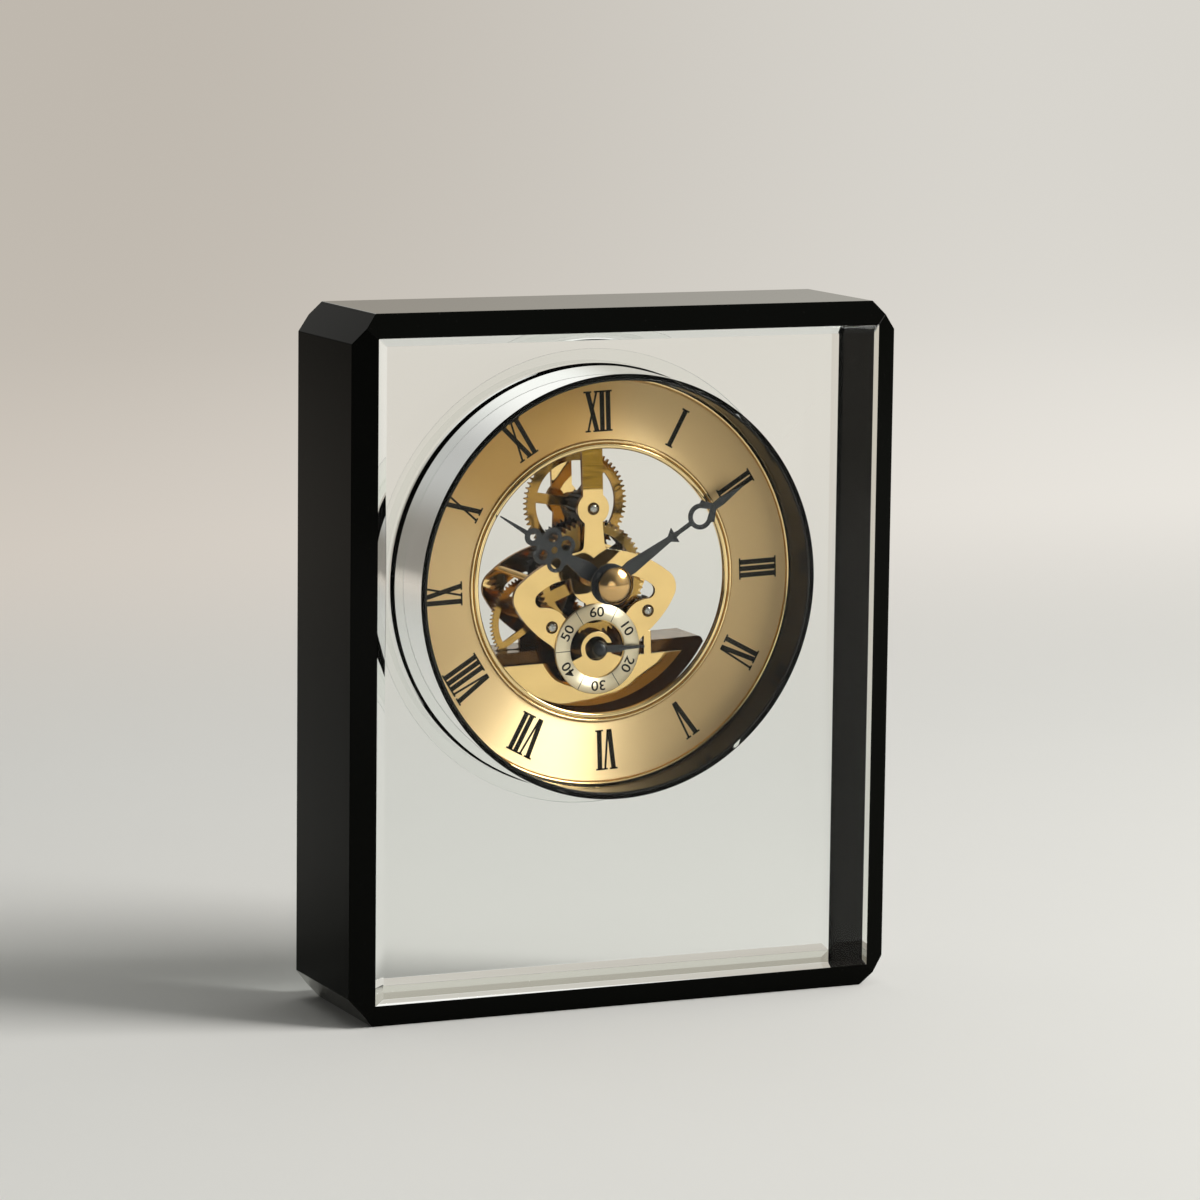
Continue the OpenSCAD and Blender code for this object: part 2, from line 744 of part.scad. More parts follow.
// Minute hand, drawn pointing up: tapered blade, barb, ring and leaf point
module minute_shape() {
    ring_at = 25;
    ring_r = 2.8;
    ring_in = 1.8;
    barb = 17.6;
    blade_top = ring_at - ring_in - 0.4;
    polygon(both_sides([
        [0.5, blade_top], [0.45, barb + 1.5], [0.6, barb + 0.5], [1.85, barb + 0.5],
        [0.65, barb - 1.1], [1.55, 6], [0.9, 1.8]
    ]));
    difference() {
        union() {
            translate([0, ring_at]) circle(ring_r, $fn = round_fn);
            polygon(both_sides([
                [0.15, minute_len], [0.9, ring_at + 6], [0.8, ring_at + 3.9], [1.5, ring_at + 3.2],
                [2.85, ring_at + 2.1], [2.2, ring_at + 1]
            ]));
        }
        translate([0, ring_at]) circle(ring_in, $fn = round_fn);
        polygon(both_sides([[0.1, ring_at + 2.7], [1.45, ring_at + 1]]));
    }
}

module minute_hand() {
    boss = pipe_r - 0.2;
    boss_t = 0.9;
    color([0.16, 0.16, 0.18]) seat_insert() difference() {
        union() {
            slab(minute_hand_y, hand_t) {
                circle(2.4, $fn = round_fn);
                rotate(-minute_at) minute_shape();
            }
            rod(axis_at, boss, minute_hand_y + hand_t, boss_t, round_fn);
        }
        rod(axis_at, arbor_r, minute_hand_y - 1, hand_t + boss_t + 2);
    }
}

// Black bush in front of the minute hand, stepped down towards the cap
module hand_collar() {
    collar_r = 4.4;
    neck_r = 3.3;
    color([0.05, 0.05, 0.05]) seat_insert() difference() {
        union() {
            rod(axis_at, collar_r, minute_hand_y - collar_t, collar_t, round_fn);
            rod(axis_at, neck_r, cap_y, minute_hand_y - collar_t - cap_y, round_fn);
        }
        rod(axis_at, arbor_r, cap_y - 1, big);
    }
}

// Gilt button: a short rim and an elliptical dome
module gilt_cap() {
    rim_t = 0.3;
    dome_t = 1.85;
    steps = 14;
    color([0.85, 0.67, 0.36]) seat_insert() difference() {
        spun(concat(
            [[0, cap_y], [cap_r - 0.15, cap_y], [cap_r, cap_y - 0.15]],
            [for (i = [0:steps]) [cap_r * cos(90 * i / steps), cap_y - rim_t - dome_t * sin(90 * i / steps)]]
        ));
        rod(axis_at, arbor_r, cap_y - 0.4, 1);
    }
}

module top_wheel() {
    rim = root_r(top_n, cannon_m) - 1.9;
    hub = 2.4;
    color([0.82, 0.62, 0.28]) seat_insert() translate([top_at[0], 0, top_at[1]]) {
        slab(top_y, top_t) difference() {
            rotate(top_turn) gear(top_n, cannon_m);
            windows(hub, rim, 3, 49, 2.2);
        }
        slab(top_pin_y, top_pin_t) gear(top_pin_n, hour_m);
        rod([0, 0], 1.6, top_pin_y + top_pin_t, top_y - top_pin_y - top_pin_t);
        rod([0, 0], 1.8, top_y + top_t, 3);
        rod([0, 0], pivot_r, plate_y, rear_back - plate_y);
    }
}

module hour_wheel() {
    rim = root_r(hour_n, hour_m) - 1.6;
    pipe_bore = arbor_r + run_gap;
    color([0.82, 0.62, 0.28]) seat_insert() difference() {
        union() {
            slab(hour_y, hour_t) difference() {
                rotate(hour_turn) gear(hour_n, hour_m);
                windows(3.4, rim, 4, 20, 2.6);
            }
            rod(axis_at, pipe_r, hour_hand_y, hour_y - hour_hand_y, round_fn);
        }
        rod(axis_at, pipe_bore, hour_hand_y - 1, big);
    }
}

// Hour hand, drawn pointing up: stem, pierced scroll and spear point
module hour_shape() {
    low = 12.3;
    high = 15.9;
    scroll_x = 2.2;
    knob = hour_len - 6.9;
    difference() {
        union() {
            polygon(both_sides([[1.1, low - 2], [1.9, 5.6], [1.5, 2]]));
            for (x = [-scroll_x, scroll_x], z = [low, high])
                translate([x, z]) circle(2, $fn = small_fn);
            polygon(both_sides([[0.2, high + 5], [1.9, high + 1], [1.6, low - 2.2]]));
            polygon(both_sides([[0.15, hour_len], [0.5, knob], [1, knob - 1.5]]));
            translate([0, knob - 1.9]) circle(1.9, $fn = small_fn);
            polygon(both_sides([[1.2, knob - 3], [1.6, high + 1]]));
        }
        for (x = [-scroll_x, scroll_x], z = [low, high])
            translate([x, z]) circle(1.15, $fn = small_fn);
        translate([0, (low + high) / 2]) circle(0.75, $fn = small_fn);
        translate([0, knob - 1.9]) circle(0.8, $fn = small_fn);
    }
}

module hour_hand() {
    color([0.14, 0.14, 0.16]) seat_insert() difference() {
        slab(hour_hand_y, hand_t) {
            circle(3, $fn = round_fn);
            rotate(-hour_at) hour_shape();
        }
        rod(axis_at, pipe_r, hour_hand_y - 1, hand_t + 2, round_fn);
    }
}

module setting_arbor() {
    color([0.62, 0.62, 0.64]) seat_insert() translate([set_at[0], 0, set_at[1]]) {
        rod([0, 0], pivot_r, plate_y, window_y + window_t + 2 - plate_y);
        slab(hour_y, hour_t) rotate(set_turn) gear(set_pin_n, hour_m);
    }
}

module setting_knob() {
    flutes = 16;
    knob_y = window_y + window_t + 0.3;
    color([0.1, 0.1, 0.1]) seat_insert() translate([set_at[0], 0, set_at[1]]) difference() {
        slab(knob_y, knob_t) difference() {
            circle(knob_r, $fn = round_fn);
            for (i = [0:flutes - 1]) rotate(i * 360 / flutes) translate([knob_r + 0.25, 0]) circle(0.6, $fn = 16);
        }
        rod([0, 0], pivot_r, knob_y - 1, knob_t);
    }
}

module seconds_wheel() {
    color([0.8, 0.64, 0.32]) seat_insert() translate([seconds_at[0], 0, seconds_at[1]]) {
        slab(second_y, wheel_t) gear(second_n, motor_m);
        slab(third_y - 0.2, second_pin_t) gear(second_pin_n, third_m);
        rod([0, 0], pivot_r, plate_y - 1.6, rear_back - plate_y + 1.6);
    }
}

second_hand_y = plate_y - 1.7;

module seconds_hand() {
    boss = 1.8;
    color([0.08, 0.08, 0.09]) seat_insert() translate([seconds_at[0], 0, seconds_at[1]]) {
        slab(second_hand_y, hand_t * 0.75) difference() {
            rotate(-second_at)
                polygon(both_sides([[0.25, second_len], [0.42, 6], [0.75, 4.5], [0.75, 0]]));
            circle(pivot_r + 0.5, $fn = small_fn);
        }
        difference() {
            spun(concat([[0, second_hand_y + 0.9], [boss, second_hand_y + 0.9], [boss, second_hand_y]],
                arc([0, second_hand_y + 0.3], boss, -10, -90, 8)));
            rod([0, 0], pivot_r, plate_y - 1.6, big);
        }
    }
}

module third_wheel() {
    rim = root_r(third_n, third_m) - 1.3;
    color([0.82, 0.64, 0.3]) seat_insert() translate([third_at[0], 0, third_at[1]]) {
        slab(third_y, wheel_t) difference() {
            rotate(third_turn) gear(third_n, third_m);
            windows(2.2, rim, 5, 211, 1.4);
        }
        slab(third_pin_y, third_pin_t) gear(third_pin_n, centre_m);
        rod([0, 0], 1.2, third_pin_y + third_pin_t, third_y - third_pin_y - third_pin_t);
        rod([0, 0], pivot_r, plate_y, rear_back - plate_y);
    }
}

module centre_wheel() {
    rim = root_r(centre_n, centre_m) - 1.8;
    hub = 2.2;
    color([0.07, 0.07, 0.08]) seat_insert() difference() {
        union() {
            slab(centre_y, wheel_t) difference() {
                rotate(centre_turn) gear(centre_n, centre_m);
                windows(hub + 1, rim, 5, 30, 1.8);
            }
            rod(axis_at, hub, centre_y - 0.6, wheel_t + 1.2, round_fn);
        }
        rod(axis_at, arbor_r + run_gap, centre_y - 1, wheel_t + 2);
    }
}

module motor_wheel() {
    color([0.85, 0.85, 0.8]) seat_insert() translate([motor_at[0], 0, motor_at[1]]) {
        slab(second_y - 0.1, 1.1) rotate(motor_turn) gear(motor_pin_n, motor_m);
        slab(second_y + 1.2, wheel_t) gear(motor_n, rotor_m);
        rod([0, 0], motor_pivot, inside_y - 0.4, lid_y + lid_t - inside_y + 0.2);
    }
}

module rotor() {
    color([0.3, 0.3, 0.32]) seat_insert() translate([rotor_at[0], 0, rotor_at[1]]) {
        rod([0, 0], 1.6, stator_y - 0.5, stator_t + 0.8);
        slab(second_y + 1.1, 0.9) rotate(rotor_turn) gear(rotor_n, rotor_m);
        rod([0, 0], motor_pivot, inside_y - 0.4, lid_y + lid_t - inside_y + 0.2);
    }
}

crystal_block();
left_plate();
right_plate();
top_plate();
bottom_plate();
case_tube();
rear_flange();
grip_ring();
rear_window();
dial_ring();
sub_dial();
dial_posts();
front_plate();
rear_plate();
plate_pillars();
bearing_caps();
base_plate();
motor_housing();
housing_lid();
circuit_board();
quartz_can();
stator();
coil();
contact_springs();
battery_cell();
battery_hatch();
centre_arbor();
minute_hand();
hand_collar();
gilt_cap();
top_wheel();
hour_wheel();
hour_hand();
setting_arbor();
setting_knob();
seconds_wheel();
seconds_hand();
third_wheel();
centre_wheel();
motor_wheel();
rotor();
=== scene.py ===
import json
import math

import bmesh
import bpy
from mathutils import Matrix, Vector


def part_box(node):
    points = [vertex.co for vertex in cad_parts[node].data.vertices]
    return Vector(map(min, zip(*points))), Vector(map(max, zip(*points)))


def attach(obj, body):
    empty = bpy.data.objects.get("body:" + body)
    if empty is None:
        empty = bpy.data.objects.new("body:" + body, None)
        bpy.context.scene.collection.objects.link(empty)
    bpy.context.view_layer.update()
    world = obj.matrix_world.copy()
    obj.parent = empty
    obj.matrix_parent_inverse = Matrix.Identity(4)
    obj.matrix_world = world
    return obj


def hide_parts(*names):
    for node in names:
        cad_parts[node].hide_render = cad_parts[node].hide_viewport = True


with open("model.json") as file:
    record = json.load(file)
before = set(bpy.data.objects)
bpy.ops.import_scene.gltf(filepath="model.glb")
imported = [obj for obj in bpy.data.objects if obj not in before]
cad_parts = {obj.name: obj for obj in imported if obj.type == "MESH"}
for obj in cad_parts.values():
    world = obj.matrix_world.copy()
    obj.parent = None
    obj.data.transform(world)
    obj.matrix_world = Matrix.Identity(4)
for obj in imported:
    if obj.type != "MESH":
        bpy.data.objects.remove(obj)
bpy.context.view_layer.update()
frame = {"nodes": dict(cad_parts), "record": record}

MM = 0.001
TINY = 1e-6
MERGE = 0.0005

# Glass block, in millimetres
PLATE_GLASS = 5.0
BEVEL_W = 6.5
BEVEL_D = 3.3
CORNER_X = 5.3
CORNER_Z = 6.2
CLOCK_DROP = 60.0
BORE_R = 45.4
FRONT_GLASS = 10.4
BONDED_GAP = 0.02
POLISH_EDGE = 0.12

# Insert, in millimetres from the clock axis
DIAL_TURN = math.radians(2.1)
GRIP_WALL = 0.8
CASE_WALL = 0.65
GRIP_LEN = 3.7
FLANGE_T = 1.2
FLANGE_RISE = 1.1
LIP_T = 0.8
DIAL_T = 1.0
BEAD_H = 0.5
DIAL_IN_R = 28.3
BEAD_W = 1.9
SUB_R = 9.7
SUB_IN_R = 6.25
SECONDS_DROP = 15.0
ROUND = 256

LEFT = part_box("left_plate")[0].x / MM
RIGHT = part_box("right_plate")[1].x / MM
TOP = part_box("top_plate")[1].z / MM
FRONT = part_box("crystal_block")[0].y / MM
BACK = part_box("crystal_block")[1].y / MM
CLOCK_Z = TOP - CLOCK_DROP
CAMERA_AZIMUTH = math.radians(-23.976)
FLOOR_Y = FRONT + FRONT_GLASS
CASE_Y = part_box("case_tube")[0].y / MM
DIAL_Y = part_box("dial_ring")[0].y / MM + BEAD_H
PLATE_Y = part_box("front_plate")[0].y / MM
SUB_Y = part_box("sub_dial")[0].y / MM

SEAT = Matrix.Translation((0, 0, CLOCK_Z)) @ Matrix.Rotation(-DIAL_TURN, 4, "Y")
SUB_AT = SEAT @ Vector((0, 0, -SECONDS_DROP))
FACING_FRONT = Matrix.Rotation(math.radians(90), 4, "X")

behaviour = frame["record"]["behaviour"]
joint_at = {joint["name"]: Vector(joint["pos_m"]) / MM
            for joint in behaviour["joints"] if "pos_m" in joint}
body_of = {node: body for body, members in behaviour["bodies"].items() for node in members}
slot_of = {part["node"]: part["material_slot"] for part in frame["record"]["subparts"]}


class Wire:
    """One output of a material's node. Arithmetic on wires adds Math nodes."""

    def __init__(self, finish, socket):
        self.finish = finish
        self.socket = socket

    def math(self, operation, *values):
        return self.finish.node("Math", {"operation": operation}, dict(enumerate(values)))

    def __add__(self, other):
        return self.math("ADD", self, other)

    def __radd__(self, other):
        return self.math("ADD", other, self)

    def __sub__(self, other):
        return self.math("SUBTRACT", self, other)

    def __rsub__(self, other):
        return self.math("SUBTRACT", other, self)

    def __mul__(self, other):
        return self.math("MULTIPLY", self, other)

    def __rmul__(self, other):
        return self.math("MULTIPLY", other, self)

    def __gt__(self, other):
        return self.math("GREATER_THAN", self, other)

    def __lt__(self, other):
        return self.math("LESS_THAN", self, other)

    def __abs__(self):
        return self.math("ABSOLUTE", self)

    def larger(self, other):
        return self.math("MAXIMUM", self, other)


class Finish:
    """A material in the making: nodes are added by node(), and close() joins the last one."""

    def __init__(self, name):
        self.material = bpy.data.materials.new(name)
        self.material.use_nodes = True
        self.tree = self.material.node_tree
        self.tree.nodes.clear()

    def node(self, kind, settings=None, inputs=None, out=0):
        made = self.tree.nodes.new("ShaderNode" + kind)
        for key, value in (settings or {}).items():
            setattr(made, key, value)
        for key, value in (inputs or {}).items():
            if isinstance(value, Wire):
                self.tree.links.new(value.socket, made.inputs[key])
            else:
                made.inputs[key].default_value = value
        return Wire(self, made.outputs[out]) if made.outputs else None

    def object_mm(self, centre=(0, 0, 0)):
        """Object coordinates in millimetres from a centre in millimetres."""
        place = self.node("TexCoord", out="Object")
        scaled = self.node("VectorMath", {"operation": "SCALE"}, {0: place, "Scale": 1 / MM})
        return self.node("VectorMath", {"operation": "SUBTRACT"}, {0: scaled, 1: centre})

    def axes(self, place):
        return [self.node("SeparateXYZ", inputs={0: place}, out=axis) for axis in range(3)]

    def from_axis(self, place):
        """The part of a place that lies across the y axis."""
        return self.node("VectorMath", {"operation": "MULTIPLY"}, {0: place, 1: (1, 0, 1)})

    def length(self, place):
        return self.node("VectorMath", {"operation": "LENGTH"}, {0: place}, out=1)

    def depth_normal(self):
        """How squarely the surface faces front or back, from 0 to 1."""
        return abs(self.axes(self.node("NewGeometry", out="Normal"))[1])

    def seen_by(self, kind):
        return self.node("LightPath", out=f"Is {kind} Ray")

    def noise(self, place, scale, detail=2.0, rough=0.5, stretch=(1, 1, 1)):
        """Fractal noise about 0.5, in cycles per millimetre."""
        stretched = self.node("VectorMath", {"operation": "MULTIPLY"}, {0: place, 1: stretch})
        values = {"Vector": stretched, "Scale": scale, "Detail": detail, "Roughness": rough}
        return self.node("TexNoise", inputs=values)

    def blend(self, factor, first, second):
        return self.node("Mix", {"data_type": "RGBA"}, {0: factor, 6: first, 7: second}, out=2)

    def ramp(self, value, start, end, low=0.0, high=1.0):
        """A smooth rise from low to high while the value goes from start to end."""
        settings = {"interpolation_type": "SMOOTHSTEP"}
        return self.node("MapRange", settings, {0: value, 1: start, 2: end, 3: low, 4: high})

    def shade(self, height, distance, strength=1.0, over=None):
        """A normal from a height, with the depth of the relief in millimetres."""
        values = {"Height": height, "Distance": distance * MM, "Strength": strength}
        return self.node("Bump", inputs={**values, "Normal": over} if over else values)

    def leaning(self, direction, amount):
        """The surface normal, leaned over along a direction."""
        lean = self.node("VectorMath", {"operation": "SCALE"}, {0: direction, "Scale": amount})
        normal = self.node("NewGeometry", out="Normal")
        leaned = self.node("VectorMath", {"operation": "ADD"}, {0: normal, 1: lean})
        return self.node("VectorMath", {"operation": "NORMALIZE"}, {0: leaned})

    def surface(self, **values):
        """A Principled shader, with its sockets named as in base_color."""
        named = [key.replace("_", " ").title().replace("Ior", "IOR") for key in values]
        return self.node("BsdfPrincipled", inputs=dict(zip(named, values.values())))

    def close(self, shader):
        self.node("OutputMaterial", inputs={"Surface": shader})
        return self.material


class Sky(Finish):
    """The studio round the scene, made with the same nodes."""

    def __init__(self, name):
        self.world = bpy.data.worlds.new(name)
        self.world.use_nodes = True
        self.tree = self.world.node_tree
        self.tree.nodes.clear()

    def close(self, light):
        self.node("OutputWorld", inputs={"Surface": light})
        return self.world


# Colours, the planes where a finish changes, in millimetres, and refractive indices
GOLD = (0.88, 0.61, 0.26)
BRASS = (0.62, 0.37, 0.10)
SHADE_PAINTED_BRASS = (0.50, 0.28, 0.07)
BROWN = (0.27, 0.15, 0.052)
SHADE_PAINTED_BROWN = (0.075, 0.036, 0.012)
TOP_DISC_Y = 13.9
STRAP_ROLLED = 18.9
CRYSTAL_IOR = 1.618
BONDED_IOR = 1.017
POLISH_IOR = 1.5
FAINT_IOR = 1.1


def rgb(red, green, blue):
    return (red, green, blue, 1.0)


def mixed(finish, factor, first, second):
    return finish.node("MixShader", inputs={0: factor, 1: first, 2: second})


def see_through(finish, glass, tint):
    """Lets lamps and soft bounce light pass straight through clear glass."""
    straight = finish.node("BsdfTransparent", inputs={0: tint})
    return mixed(finish, finish.seen_by("Shadow").larger(finish.seen_by("Diffuse")), glass, straight)


def fresnel(finish, ior):
    return finish.node("Fresnel", inputs={"IOR": ior})


def crystal_finish():
    """Clear crystal, black where the black plates and the grip ring touch it."""
    finish = Finish("clear_crystal")
    x, y, z = finish.axes(finish.object_mm((0, 0, TOP / 2)))
    near = 0.01
    side = abs(x) > RIGHT - PLATE_GLASS - near
    ends = abs(z) > TOP / 2 - PLATE_GLASS - near
    radius = finish.length(finish.node("CombineXYZ", inputs={0: x, 2: z + (TOP / 2 - CLOCK_Z)}))
    grip_from = BACK - GRIP_LEN - 0.5
    on_wall = (radius < BORE_R + 2 * near) * (y > grip_from)
    bonded = side.larger(ends).larger(on_wall)
    tint = rgb(0.985, 0.995, 0.985)
    glass = finish.surface(base_color=tint, roughness=0.0, ior=CRYSTAL_IOR, transmission_weight=1.0)
    bent = finish.node("BsdfRefraction", inputs={"Color": tint, "Roughness": 0.0, "IOR": CRYSTAL_IOR})
    strong = finish.ramp(fresnel(finish, CRYSTAL_IOR), 0.15, 0.5, 0.12, 1.0)
    clear = see_through(finish, mixed(finish, strong, bent, glass), rgb(0.93, 0.95, 0.94))
    ink = finish.surface(base_color=rgb(0.004, 0.004, 0.003), roughness=0.3, specular_ior_level=0.0)
    # Painted shade: the mirror on the top and bottom bonded faces is dimmer than on the side faces.
    shown = finish.blend(ends, rgb(0.95, 0.95, 0.92), rgb(0.58, 0.57, 0.52))
    mirror = finish.node("BsdfGlossy", inputs={"Color": shown, "Roughness": 0.0})
    black = mixed(finish, fresnel(finish, BONDED_IOR) * (1.0 - on_wall), ink, mirror)
    return finish.close(mixed(finish, bonded, clear, black))


def clear_plastic_finish():
    """Thin clear plastic that shows mostly at its rim and edge on."""
    finish = Finish("clear_plastic")
    pale = rgb(0.85, 0.87, 0.87)
    gloss = finish.surface(base_color=pale, roughness=0.03, ior=1.45, specular_ior_level=0.5)
    straight = finish.node("BsdfTransparent", inputs={0: rgb(0.985, 0.99, 0.985)})
    radius = finish.length(finish.from_axis(finish.object_mm((0, 0, CLOCK_Z))))
    rim = finish.ramp(radius, BORE_R + 1.5, BORE_R + 2.5, 0.15, 1.0)
    turned_away = finish.node("LayerWeight", inputs={"Blend": 0.5}, out="Facing")
    edge_on = finish.ramp(turned_away, 0.5, 1.0, 0.0, 0.12)
    return finish.close(mixed(finish, fresnel(finish, FAINT_IOR) * 0.5 * rim + edge_on, straight, gloss))


def black_glass_finish():
    """Polished black glass: its mirror shows only at a shallow angle."""
    finish = Finish("black_glass")
    place = finish.object_mm()
    haze = finish.noise(place, 0.08, 3)
    specks = finish.noise(place, 1.6, 1) > 0.77
    colour = finish.blend(specks * 0.02, rgb(0.0015, 0.0017, 0.0012), rgb(0.3, 0.3, 0.28))
    ink = finish.surface(base_color=colour, roughness=0.3, specular_ior_level=0.0)
    gloss = {"Color": rgb(0.95, 0.95, 0.92), "Roughness": 0.02 + haze * 0.03}
    mirror = finish.node("BsdfGlossy", inputs=gloss)
    strong = finish.ramp(fresnel(finish, POLISH_IOR), 0.115, 0.46, 0.004, 0.58)
    return finish.close(mixed(finish, strong, ink, mirror))


def lathe_finish(name, centre, deep, pale, rough=0.36, lean_out=0.36):
    """Satin metal turned on a lathe: fine rings spread each glint along the radius.

    Its steeper lobes are lighter in colour, a painted sheen, and its colour is kept deepest at the upper
    left, painted shade.
    """
    finish = Finish(name)
    place = finish.object_mm(centre)
    flat = finish.from_axis(place)
    outward = finish.node("VectorMath", {"operation": "NORMALIZE"}, {0: flat})
    turns = {"W": finish.length(flat) * 3.1, "Detail": 3.0}
    rings = finish.node("TexNoise", {"noise_dimensions": "1D"}, turns)
    grain = finish.noise(place, 9.0, 1, 0.5)
    across, _, height = finish.axes(outward)
    # Painted shade: the colour stays deepest at the upper left of the dial.
    painted_shade_upper_left = height * 0.87 - across * 0.5
    shown, total = None, 0.0
    for step, share in ((-2, 0.15), (2, 0.15), (-1, 0.2), (1, 0.2), (0, 0.3)):
        total += share
        tilt = step * lean_out + rings * 0.12 - 0.06
        facing = finish.leaning(outward, tilt)
        # Painted sheen: the steeper lobes are lighter; rings and grain vary the tone.
        grain_and_painted_light = step * step * 0.2 + (rings + grain) * 0.08
        grain_and_painted_light = grain_and_painted_light + finish.ramp(painted_shade_upper_left, 0.98, 0.7, 0.0, 0.45)
        colour = finish.blend(grain_and_painted_light, rgb(*deep), rgb(*pale))
        lobe = finish.surface(base_color=colour, metallic=1.0, roughness=rough, normal=facing)
        shown = mixed(finish, share / total, shown, lobe) if shown else lobe
    return finish.close(shown)


def metal_finish(name, colour, rough, spread=0.04, tint=0.12, scratch=0.0, wave=0.0, front=None):
    """Polished or satin metal with a faint cloud of wear, fine hair scratches and a slight wave.

    Faces that look to the front or back can have a colour of their own; the motor housing uses this for
    painted shade.
    """
    finish = Finish(name)
    place = finish.object_mm((0, 0, CLOCK_Z))
    cloud = finish.noise(place, 0.35, 3)
    hair = finish.noise(place, 2.0, 2, 0.6, (1, 1, 0.08))
    darker = rgb(*(part * (1 - tint) for part in colour))
    shown = finish.blend(cloud, rgb(*colour), darker)
    if front:
        shown = finish.blend(finish.ramp(finish.depth_normal(), 0.5, 0.8), shown, rgb(*front))
    values = {"base_color": shown, "metallic": 1.0}
    values["roughness"] = rough - spread / 2 + cloud * spread + hair * scratch
    if wave:
        values["normal"] = finish.shade(finish.noise(place, 0.12, 1, 0.4), wave)
    return finish.close(finish.surface(**values))


def painted_edge_light(finish, colour):
    """Painted shade on the cut side faces of a plate, and a painted highlight on the polished break
    between edge and face.
    """
    facing = finish.depth_normal()
    # Painted shade on the side faces, painted highlight on the narrow break.
    side = finish.ramp(facing, 0.5, 0.25)
    broken = finish.ramp(facing, 0.35, 0.6) * finish.ramp(facing, 0.97, 0.88)
    return finish.blend(broken, finish.blend(side, colour, rgb(0.26, 0.13, 0.04)), rgb(1.0, 0.86, 0.58))


def plate_finish(name, rolled_above):
    """Mirror gilt with painted shade on its cut side faces and a painted highlight on their break. Above
    a height it is dull from rolling, with fine level lines, and coloured much darker as painted shade.
    """
    finish = Finish(name)
    place = finish.object_mm((0, 0, CLOCK_Z))
    height = finish.axes(place)[2]
    dull = finish.ramp(height, rolled_above, rolled_above + 0.5)
    lines = finish.noise(place, 1.3, 3, 0.65, (0.1, 1, 5))
    light = finish.ramp(lines, 0.35, 0.7)
    # Painted shade: the rolled part is much darker than the gilt; its fine lines are grain.
    rolled_and_shaded = finish.blend(light, rgb(0.17, 0.09, 0.008), rgb(0.50, 0.29, 0.05))
    cloud = finish.noise(place, 0.35, 3)
    polished = finish.blend(cloud, rgb(*GOLD), rgb(*(part * 0.94 for part in GOLD)))
    colour = painted_edge_light(finish, finish.blend(dull, polished, rolled_and_shaded))
    facing = finish.shade(finish.noise(place, 0.12, 1, 0.4), 0.3)
    values = {"base_color": colour, "metallic": 1.0, "roughness": 0.06 + dull * 0.2, "normal": facing}
    return finish.close(finish.surface(**values))


def cap_finish():
    """Gilt ball under clear lacquer: a soft body with a sharp glint."""
    finish = Finish("cap_gilt")
    cloud = finish.noise(finish.object_mm(), 0.5, 2)
    colour = finish.blend(cloud, rgb(0.74, 0.45, 0.17), rgb(0.66, 0.38, 0.13))
    return finish.close(finish.surface(base_color=colour, metallic=1.0, roughness=0.17, coat_weight=0.8,
                                       coat_roughness=0.05, coat_ior=1.6))


def bearing_finish():
    """Steel bearing domes, each in a dark brown ring."""
    finish = Finish("bearing_dome")
    depth = finish.axes(finish.object_mm())[1]
    sunk = finish.ramp(depth, PLATE_Y - 0.22, PLATE_Y - 0.16)
    colour = finish.blend(sunk, rgb(0.46, 0.45, 0.43), rgb(0.10, 0.055, 0.02))
    return finish.close(finish.surface(base_color=colour, metallic=1.0, roughness=0.22))


def wheel_finish(name, joint, brass=BRASS, steel_before=None):
    """Brass wheel with a slightly dished face. In front of a depth its pinion is blackened steel."""
    finish = Finish(name)
    hub = joint_at[joint]
    place = finish.object_mm((hub.x, 0, hub.z))
    outward = finish.from_axis(place)
    cloud = finish.noise(place, 0.35, 3)
    # Painted shade on the side faces and a painted highlight on their break, over a cloudy brass tone.
    colour = painted_edge_light(finish, finish.blend(cloud, rgb(*brass), rgb(*(part * 0.6 for part in brass))))
    rough = 0.13
    if steel_before:
        steel = finish.axes(place)[1] < steel_before
        colour = finish.blend(steel, colour, rgb(0.045, 0.040, 0.036))
        rough = 0.13 + steel * 0.12
    dished = finish.leaning(outward, 0.011)
    facing = finish.shade(finish.noise(place, 0.12, 1, 0.4), 1.2, over=dished)
    return finish.close(finish.surface(base_color=colour, metallic=1.0, roughness=rough, normal=facing))


def lacquer_finish(name, colour, rough, spread=0.05, coat=0.0, gloss=0.35):
    """Lacquer, plastic or rubber with slight unevenness."""
    finish = Finish(name)
    place = finish.object_mm((0, 0, CLOCK_Z))
    cloud = finish.noise(place, 0.5, 3)
    fine = finish.noise(place, 6.0, 2)
    lighter = rgb(*(part * 1.25 + 0.002 for part in colour))
    shown = finish.blend(cloud, rgb(*colour), lighter)
    values = {"base_color": shown, "roughness": rough + cloud * spread, "specular_ior_level": gloss}
    values.update({"normal": finish.shade(fine, 0.01, 0.3), "coat_weight": coat, "coat_roughness": 0.05})
    return finish.close(finish.surface(**values))


def coil_finish():
    """Varnished copper wire, wound in close turns along x."""
    finish = Finish("copper_coil")
    along = finish.axes(finish.object_mm())[0] * 25.0
    turns = along.math("SINE", along)
    facing = finish.shade(turns, 0.1)
    # Painted light and shade: the turns are brighter on their crests and darker in the grooves between
    # them.
    colour = finish.blend(turns * 0.5 + 0.5, rgb(0.28, 0.09, 0.03), rgb(0.72, 0.32, 0.12))
    return finish.close(finish.surface(base_color=colour, metallic=1.0, roughness=0.3, normal=facing))


